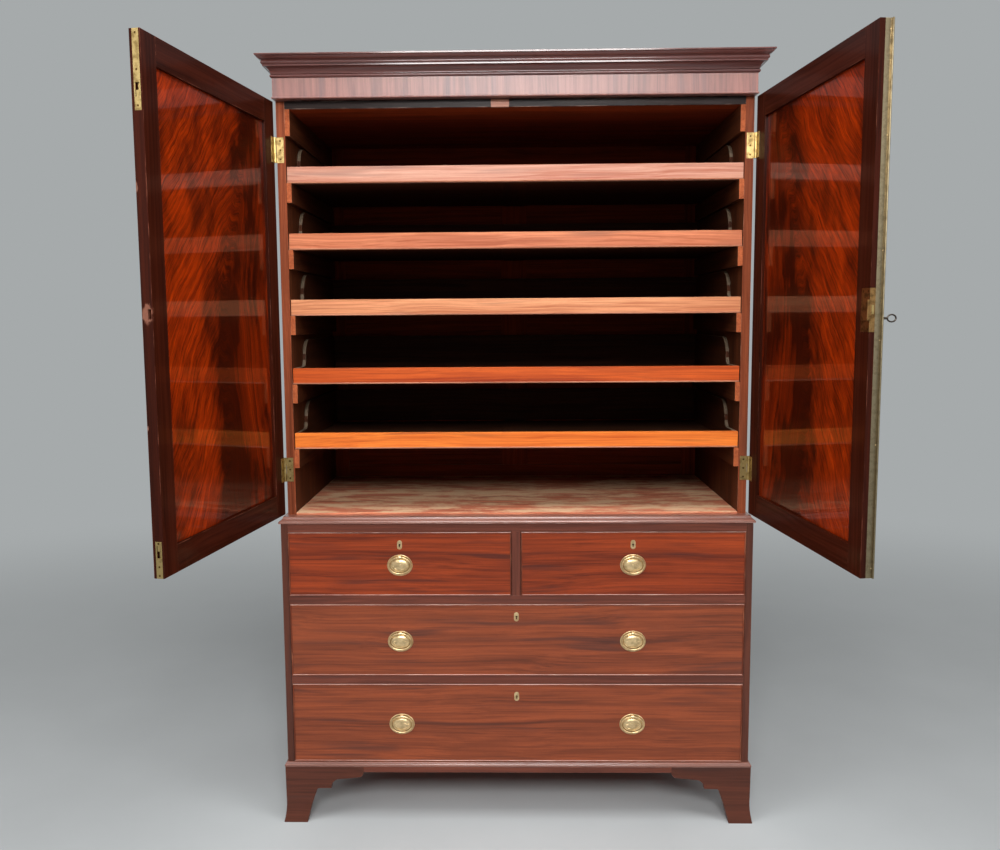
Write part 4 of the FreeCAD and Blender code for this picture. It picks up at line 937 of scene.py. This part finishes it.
def dome_height(x, z):
    """How far the dome stands out at a point in millimetres from its middle."""
    radius = math.hypot(x, z * DOME_HALF / DOME_TALL)
    for (inner, high), (outer, low) in zip(DOME, DOME[1:]):
        if radius <= outer:
            return high + (low - high) * (radius - inner) / (outer - inner)
    return DOME[-1][1]


print("the dome stands out", dome_height(0, 0), "mm in its middle and", DOME[-1][1], "at its edge")

# %% Spin the plate and squeeze it oval
PLATE_TURNS = 96


def spun(bm, profile, turns, axis):
    """Spins (radius, along) points, in millimetres, round Y or Z; returns the skin's corners."""
    before = set(bm.verts)
    along = (lambda r, h: (r, -h, 0)) if axis.y else (lambda r, h: (r, 0, h))
    line = [bm.verts.new(Vector(along(r, h)) * MM) for r, h in profile]
    edges = [bm.edges.new(pair) for pair in zip(line, line[1:])]
    bmesh.ops.spin(bm, geom=line + edges, cent=(0, 0, 0), axis=axis, dvec=(0, 0, 0),
                   angle=math.tau, steps=turns, use_merge=True)
    made = [vert for vert in bm.verts if vert not in before]
    bmesh.ops.remove_doubles(bm, verts=made, dist=WELD)
    made = [vert for vert in bm.verts if vert not in before]
    faces = list({face: None for vert in made for face in vert.link_faces})
    bmesh.ops.recalc_face_normals(bm, faces=faces)
    return made


plate_bm = bmesh.new()
for vert in spun(plate_bm, PROFILE, PLATE_TURNS, Vector((0, 1, 0))):
    radius = math.hypot(vert.co.x, vert.co.z)
    if vert.co.y < MM and radius > WELD:
        vert.co.z *= squeezed(radius / MM) * MM / radius
print("faces in the bare plate:", len(plate_bm.faces))

# %% [markdown]
# ## Relief on the plate
#
# The urn is a small turned vase, so it is spun too, then flattened until it is barely proud of the
# dome. Everything else is made of grains: flat little balls of few faces, set in rows. A row of
# round ones makes the rim's beading, and rows of long ones, tipped along a curve, make leaves.

# %% Urn, leaves and beading
URN = (
    (0, -9), (2.8, -9), (2.8, -8.2), (1.1, -7.2), (0.9, -6.2), (2.4, -5.2), (4.0, -3.2), (4.9, -0.6),
    (4.9, 1.2), (4.0, 2.8), (2.3, 3.7), (1.9, 4.5), (2.9, 5.1), (2.7, 5.8), (1.3, 6.8), (0.8, 8),
    (1.1, 8.6), (0, 9.4))
URN_TURNS, URN_OUT, URN_FLATNESS = 20, 6.35, 0.19
EARS, GARLAND, BRANCH, BEADS = 7, 9, 9, 84
BEAD_REACH, BEAD_HIGH = 32.4, 1.7


def grain_of_metal(bm, x, z, height, size, tip=0.0):
    """One ball of the relief at x, z on the plate: half sizes in millimetres, tip in radians."""
    sizes = Matrix.Diagonal((*[s * MM for s in size], 1))
    spot = Matrix.Translation(Vector((x, -height, z)) * MM)
    bmesh.ops.create_uvsphere(bm, u_segments=8, v_segments=5, radius=1,
                              matrix=spot @ Matrix.Rotation(-tip, 4, "Y") @ sizes)


def half_relief(bm, side):
    """The urn's ear, the garland that hangs from it and the branch below, on one side."""
    for step in range(EARS):
        turn = math.radians(-60 + 35 * step)
        x, z = side * (4.9 + 1.9 * math.cos(turn)), 1.6 + 2.6 * math.sin(turn)
        grain_of_metal(bm, x, z, dome_height(x, z), (0.55, 0.6, 0.75))
    for step in range(GARLAND):
        share = step / (GARLAND - 1)
        x, z = side * (7.2 + 11.2 * share), 5.2 - 9.0 * share * (1 - share) - 3.4 * share
        tip = math.atan2(-9.0 * (1 - 2 * share) - 3.4, 11.2 * side)
        grain_of_metal(bm, x, z, dome_height(x, z), (1.15, 0.55, 0.7), tip)
    for step in range(BRANCH):
        turn = math.radians(-84 + 9.5 * step)
        x, z = side * 17.2 * math.cos(turn), 12.0 * math.sin(turn)
        tip = turn * side + math.pi / 3 * side
        grain_of_metal(bm, x, z, dome_height(x, z), (1.3, 0.5, 0.65), tip)


urn = spun(plate_bm, URN, URN_TURNS, Vector((0, 0, 1)))
bmesh.ops.transform(plate_bm, verts=urn, matrix=Matrix.Translation((0, -URN_OUT * MM, 0))
                    @ Matrix.Diagonal((1, URN_FLATNESS, 1, 1)))
for side in (-1, 1):
    half_relief(plate_bm, side)
for step in range(BEADS):
    turn = math.tau * step / BEADS
    grain_of_metal(plate_bm, BEAD_REACH * math.cos(turn), squeezed(BEAD_REACH) * math.sin(turn),
                   BEAD_HIGH, (0.85, 0.8, 0.85))
print("faces with the relief:", len(plate_bm.faces))

# %% [markdown]
# ## The knuckle and the ring
#
# A barrel at the top of the plate holds the ring, which is a single oval of drawn wire, nicked all
# round so that it looks like beading and doesn't slip from wet fingers. The wire is a small circle
# spun about the plate's middle; the nicks pull every third turn of it in a little. Each ring is a
# piece of its own that rides on its own body, because it lifts when the drawer is pulled.

# %% The knuckle, in millimetres
HINGE_OUT, HINGE_HIGH = 5.0, 22.5
BARREL_RADIUS, BARREL_LONG, BARREL_ROUND = 4.3, 9, 1.2
WEB_OUT, WEB_SIZE, WEB_ROUND = 2.6, (7, 4.6, 6.4), 0.8


def edges_of(verts):
    """The edges that meet some corners, each once."""
    return list({edge: None for vert in verts for edge in vert.link_edges})


lie = (Matrix.Translation((0, -HINGE_OUT * MM, HINGE_HIGH * MM))
       @ Matrix.Rotation(math.pi / 2, 4, "Y"))
barrel = bmesh.ops.create_cone(plate_bm, cap_ends=True, segments=28, radius1=BARREL_RADIUS * MM,
                               radius2=BARREL_RADIUS * MM, depth=BARREL_LONG * MM, matrix=lie)
ends = [edge for edge in edges_of(barrel["verts"]) if edge.calc_face_angle() > 1]
break_edges(plate_bm, ends, BARREL_ROUND * MM, 3)
lie = (Matrix.Translation((0, -WEB_OUT * MM, HINGE_HIGH * MM))
       @ Matrix.Diagonal((*[size * MM for size in WEB_SIZE], 1)))
web = bmesh.ops.create_cube(plate_bm, size=1, matrix=lie)
break_edges(plate_bm, edges_of(web["verts"]), WEB_ROUND * MM, 2)
print("faces with the knuckle:", len(plate_bm.faces))

# %% The ring of nicked wire, in millimetres
RING_HALF, RING_TALL = 29.2, 22.1
WIRE, WIRE_SIDES = 2.3, 12
NICKS, NICK_DEPTH = 40, 0.07
IN_THE_KNUCKLE = (0.9, 2.2)


def ring_mesh():
    """A ring about the origin. It has no nicks where it passes through the knuckle."""
    bm = bmesh.new()
    lie = Matrix.Translation((RING_HALF * MM, 0, 0))
    loop = bmesh.ops.create_circle(bm, segments=WIRE_SIDES, radius=WIRE * MM, matrix=lie)["verts"]
    bmesh.ops.spin(bm, geom=loop + edges_of(loop), cent=(0, 0, 0), axis=(0, 1, 0),
                   dvec=(0, 0, 0), angle=math.tau, steps=NICKS * 3, use_merge=True)
    bmesh.ops.remove_doubles(bm, verts=bm.verts, dist=WELD)
    bmesh.ops.recalc_face_normals(bm, faces=bm.faces)
    for vert in bm.verts:
        turn = math.atan2(vert.co.z, vert.co.x)
        off = math.hypot(vert.co.x, vert.co.z) - RING_HALF * MM
        nicked = turn < IN_THE_KNUCKLE[0] or turn > IN_THE_KNUCKLE[1]
        waist = 1 - NICK_DEPTH * (1 - math.cos(NICKS * turn)) * nicked
        vert.co = (math.cos(turn) * (RING_HALF * MM + off * waist), vert.co.y * waist,
                   math.sin(turn) * (RING_TALL * MM + off * waist))
    bm.normal_update()
    return bm


print("a ring is", 2 * (RING_HALF + WIRE), "mm wide outside")

# %% Hang the six handles
FITTINGS_OUT = 9.5 * MM
RING_BEND = math.radians(50)
stamped = bpy.data.meshes.new("stamped_plate")
plate_bm.to_mesh(stamped)
plate_bm.free()
for node in RINGS:
    low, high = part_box(node)
    names = (node.replace("_ring", "_fittings"), node.split("_")[0] + "_fittings")
    holder = next(name for name in names if name in BODY)
    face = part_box(holder)[0].y + FITTINGS_OUT
    middle = Vector(((low.x + high.x) / 2, face, (low.z + high.z) / 2))
    bm = bmesh.new()
    bm.from_mesh(stamped)
    bmesh.ops.translate(bm, vec=middle, verts=bm.verts)
    soften(bm)
    plate = stand(bm, node.replace("_ring", "_plate"), BODY[holder])
    finish_piece(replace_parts(plate, holder), "handle_brass")
    bm = ring_mesh()
    bmesh.ops.translate(bm, vec=middle - Vector((0, HINGE_OUT * MM, 0)), verts=bm.verts)
    soften(bm, RING_BEND)
    ring = stand(bm, node + "_wire", BODY[node])
    finish_piece(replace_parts(ring, node), "handle_brass")
bpy.data.meshes.remove(stamped)
print("handles:", len(RINGS), "faces in a plate:", len(plate.data.polygons),
      "and in a ring:", len(ring.data.polygons))

# %% [markdown]
# ## Screws
#
# Hinges, bolts and the lock are let in flush and held by countersunk screws, each with one slot,
# and small ones hold the brass strip. A head is a short cylinder; its top is cut twice, the strip
# between the cuts is set in from the rim and pushed down. The slots point every way, because
# nobody lines them up on the inside. Their places are found on doors turned shut and then turned
# open with the door.

# %% Cut one screw head of radius 1
HEAD_DEEP, SLOT_HALF, SLOT_DEEP, SLOT_RIM = 0.3, 0.16, 0.2, 0.06


def screw_head():
    """A head with its top at the origin looking along Z, and its slot sunk in it."""
    bm = bmesh.new()
    head = bmesh.ops.create_cone(bm, cap_ends=True, segments=20, radius1=1, radius2=1,
                                 depth=HEAD_DEEP,
                                 matrix=Matrix.Translation((0, 0, -HEAD_DEEP / 2)))["verts"]
    top = next(face for vert in head for face in vert.link_faces if face.normal.z > 0.9)
    for side in (-1, 1):
        cut = bmesh.ops.bisect_plane(bm, geom=[top, *top.edges, *top.verts], plane_no=(0, 1, 0),
                                     plane_co=(0, side * SLOT_HALF, 0))
        faces = [item for item in cut["geom"] if isinstance(item, bmesh.types.BMFace)]
        top = min(faces, key=lambda face: abs(face.calc_center_median().y))
    bmesh.ops.inset_region(bm, faces=[top], thickness=SLOT_RIM)
    pushed = bmesh.ops.extrude_face_region(bm, geom=[top])["geom"]
    corners = [item for item in pushed if isinstance(item, bmesh.types.BMVert)]
    bmesh.ops.translate(bm, vec=(0, 0, -SLOT_DEEP), verts=corners)
    mesh = bpy.data.meshes.new("screw_head")
    bm.to_mesh(mesh)
    bm.free()
    return mesh


HEAD = screw_head()
print("faces in a screw head:", len(HEAD.polygons))

# %% Set screws on a node
def shut_box(node):
    """A node's lowest and highest corners with its door turned shut."""
    shut = HINGED.get(BODY[node], Matrix.Identity(4))
    return bounds_of([shut @ vert.co for vert in frame["nodes"][node].data.vertices])


def placed(bm, mesh, matrix):
    """Adds a copy of a mesh to a piece being made, at a place."""
    before = len(bm.verts)
    bm.from_mesh(mesh)
    bm.verts.ensure_lookup_table()
    bmesh.ops.transform(bm, matrix=matrix, verts=bm.verts[before:])


def screws(name, node, heads, facing, radius, key="screw_brass"):
    """One piece of screws on a node: heads are the places of their tops with the door shut."""
    bm = bmesh.new()
    opened = HINGED.get(BODY[node], Matrix.Identity(4)).inverted()
    for head in heads:
        turn = Matrix.Rotation(random.uniform(0, math.pi), 4, "Z")
        placed(bm, HEAD, opened @ Matrix.Translation(head) @ facing @ turn @ Matrix.Scale(radius, 4))
    return finish_piece(stand(bm, name, BODY[node]), key)


FORWARD, BACKWARD = (Matrix.Rotation(math.radians(turn), 4, "X") for turn in (90, -90))
RIGHTWARD, LEFTWARD = (Matrix.Rotation(math.radians(turn), 4, "Y") for turn in (90, -90))
PROUD = 0.05 * MM
WIDE_HEAD, PLATE_HEAD, STRIP_HEAD = 2.6 * MM, 2.2 * MM, 1.3 * MM
print("heads stand proud by", PROUD / MM, "mm")

# %% The hinges' screws
HINGE_LONG = 64 * MM
SCREW_INSET = 17.5 * MM
LEAF_FACE = 4.1 * MM
LEAF_GAP = 0.2 * MM
HINGE_ROWS = (0.14, 0.5, 0.86)
low, high = shut_box("case_hinges")
across = high.x - SCREW_INSET
rows = [foot + HINGE_LONG * share for foot in (low.z, high.z - HINGE_LONG) for share in HINGE_ROWS]
case_face = low.y + LEAF_FACE
screws("case_hinge_screws", "case_hinges",
       [(side * across, case_face - PROUD, z) for side in (-1, 1) for z in rows], FORWARD, WIDE_HEAD)
for side, name in ((-1, "left"), (1, "right")):
    screws(name + "_hinge_screws", name + "_door_hinge_leaves",
           [(side * across, case_face - LEAF_GAP + PROUD, z) for z in rows], BACKWARD, WIDE_HEAD)
print("screws in one door's leaves:", len(rows))

# %% The screws of the bolt plates, the lock and the strip
LOWER_PLATE, UPPER_PLATE = (6, 24, 72), (8, 76, 143)
LOCK_INSET_X, LOCK_INSET_Y, LOCK_INSET_Z = 7 * MM, 4 * MM, 6 * MM
STRIP_SUNK = 0.45 * MM
STRIP_ROWS = (0.02, 0.25, 0.44, 0.6, 0.8, 0.98)
low, high = shut_box("flush_bolt_plates")
heights = [low.z + up * MM for up in LOWER_PLATE] + [high.z - down * MM for down in UPPER_PLATE]
screws("bolt_plate_screws", "flush_bolt_plates",
       [(high.x + PROUD, (low.y + high.y) / 2, z) for z in heights], RIGHTWARD, PLATE_HEAD)
low, high = shut_box("door_lock_case")
screws("lock_screws", "door_lock_case",
       [(x, high.y - LOCK_INSET_Y + PROUD, z) for x in (low.x + LOCK_INSET_X, high.x - LOCK_INSET_X)
        for z in (low.z + LOCK_INSET_Z, high.z - LOCK_INSET_Z)], BACKWARD, WIDE_HEAD)
low, high = shut_box("astragal")
screws("strip_screws", "astragal",
       [(low.x + STRIP_SUNK, (low.y + high.y) / 2, low.z + share * (high.z - low.z))
        for share in STRIP_ROWS], LEFTWARD, STRIP_HEAD, "handle_brass")
bpy.data.meshes.remove(HEAD)

# %% [markdown]
# ## The floor and the backdrop
#
# The press stands on a plain pale floor that fades into the backdrop a few metres away. The
# backdrop is the world's colour, and the far floor takes it as a glow. Both show it only to rays
# from the camera and to those that a mirror or glass sends on, so that the backdrop's brightness
# puts no light on the press.

# %% The floor
BACKDROP = tint(166, 170, 171)
BLACK = (0, 0, 0, 1)
FLOOR_HALF = 14
FLOOR_FADE = (0.9, 4.2)


def seen_rays(tree):
    """1 for rays that see the backdrop itself, from the camera, a mirror or glass."""
    rays = add(tree, "LightPath").outputs
    return sums(tree, "MAXIMUM", rays["Is Camera Ray"],
                sums(tree, "MAXIMUM", rays["Is Glossy Ray"], rays["Is Transmission Ray"]))


bm = bmesh.new()
bmesh.ops.create_grid(bm, x_segments=8, y_segments=8, size=FLOOR_HALF)
mesh = bpy.data.meshes.new("studio_floor")
bm.to_mesh(mesh)
bm.free()
floor = bpy.data.objects.new("studio_floor", mesh)
bpy.context.scene.collection.objects.link(floor)
finish, tree, skin = shell("pale floor")
where = add(tree, "TexCoord").outputs["Object"]
mottle = grainy(tree, where, (3, 3, 3), 4)
away = vectors(tree, "LENGTH", vectors(tree, "MULTIPLY", where, (0.75, 1, 0)))
glow = sums(tree, "MULTIPLY", fade(tree, away, *FLOOR_FADE), seen_rays(tree))
near = blend(tree, mottle, tint(184, 188, 189), tint(194, 198, 199))
fill(skin.inputs["Base Color"], blend(tree, glow, near, BLACK))
fill(skin.inputs["Emission Color"], blend(tree, glow, BLACK, BACKDROP))
settle(skin, Emission_Strength=1.0, Specular_IOR_Level=0.0, Roughness=0.6)
floor.data.materials.append(finish)
print("the floor reaches", FLOOR_HALF, "m each way")

# %% The world
WORLD_GREY = tint(184, 184, 184)
WORLD_LIGHT = 0.3
world = bpy.data.worlds.new("studio")
bpy.context.scene.world = world
world.use_nodes = True
tree = world.node_tree
ground = tree.nodes["Background"]
seen = seen_rays(tree)
fill(ground.inputs["Color"], blend(tree, seen, WORLD_GREY, BACKDROP))
fill(ground.inputs["Strength"],
     add(tree, "MapRange", Value=seen, To_Min=WORLD_LIGHT, To_Max=1.0).outputs[0])
print("the world lights the press at a strength of", WORLD_LIGHT)

# %% [markdown]
# ## The lamps
#
# Lamps are large and soft, like studio boxes: the main one is high in front, a wide one hangs over
# the press, and one on each side fills in. The world's own low even light sees to it that nothing
# outside the case is black.

# %% Hang the lamps: place and aim in metres, width, height and watts
LAMPS = {
    "main_box": ((0.05, -3.6, 2.85), (0, 0, 1.1), 1.7, 1.0, 112),
    "top_box": ((0, -1.0, 3.7), (0, -0.5, 0), 3.2, 1.6, 80),
    "right_box": ((3.2, -1.9, 2.2), (0.1, 0, 1.2), 1.6, 1.6, 34),
    "left_box": ((-3.2, -1.9, 2.2), (-0.1, 0, 1.2), 1.6, 1.6, 34),
}
for name, (place, aim, width, height, watts) in LAMPS.items():
    lamp = bpy.data.lights.new(name, "AREA")
    lamp.shape, lamp.size, lamp.size_y, lamp.energy = "RECTANGLE", width, height, watts
    box = bpy.data.objects.new(name, lamp)
    box.location = place
    box.rotation_euler = (Vector(aim) - Vector(place)).to_track_quat("-Z", "Y").to_euler()
    bpy.context.scene.collection.objects.link(box)
print("lamps:", list(LAMPS))

# %% [markdown]
# ## The camera
#
# The camera stands some two metres in front of the press, at shoulder height, and looks slightly
# down. Its lens is wide, which is why the open doors reach so far forward in the picture.

# %% Place the camera
YAW, PITCH, ROLL = (math.radians(angle) for angle in (-1.04, -5.98, -0.39))
CAMERA_PLACE = (-0.01089, -2.3516, 1.3663)
LENS, SENSOR = 32.61, 36
SHIFT = (0.0051, -0.01325)
forward = Vector((math.sin(YAW) * math.cos(PITCH), math.cos(YAW) * math.cos(PITCH), math.sin(PITCH)))
right = Vector((math.cos(YAW), -math.sin(YAW), 0))
up = right.cross(forward)
across = math.cos(ROLL) * right + math.sin(ROLL) * up
upright = math.cos(ROLL) * up - math.sin(ROLL) * right
lens = bpy.data.cameras.new("camera")
lens.lens, lens.sensor_width = LENS, SENSOR
lens.shift_x, lens.shift_y = SHIFT
camera = bpy.data.objects.new("camera", lens)
turn = Matrix((across, upright, -forward)).transposed().to_4x4()
camera.matrix_world = Matrix.Translation(CAMERA_PLACE) @ turn
bpy.context.scene.collection.objects.link(camera)
bpy.context.scene.camera = camera
bpy.context.scene.view_settings.view_transform = "Standard"
print("the camera stands at", CAMERA_PLACE)
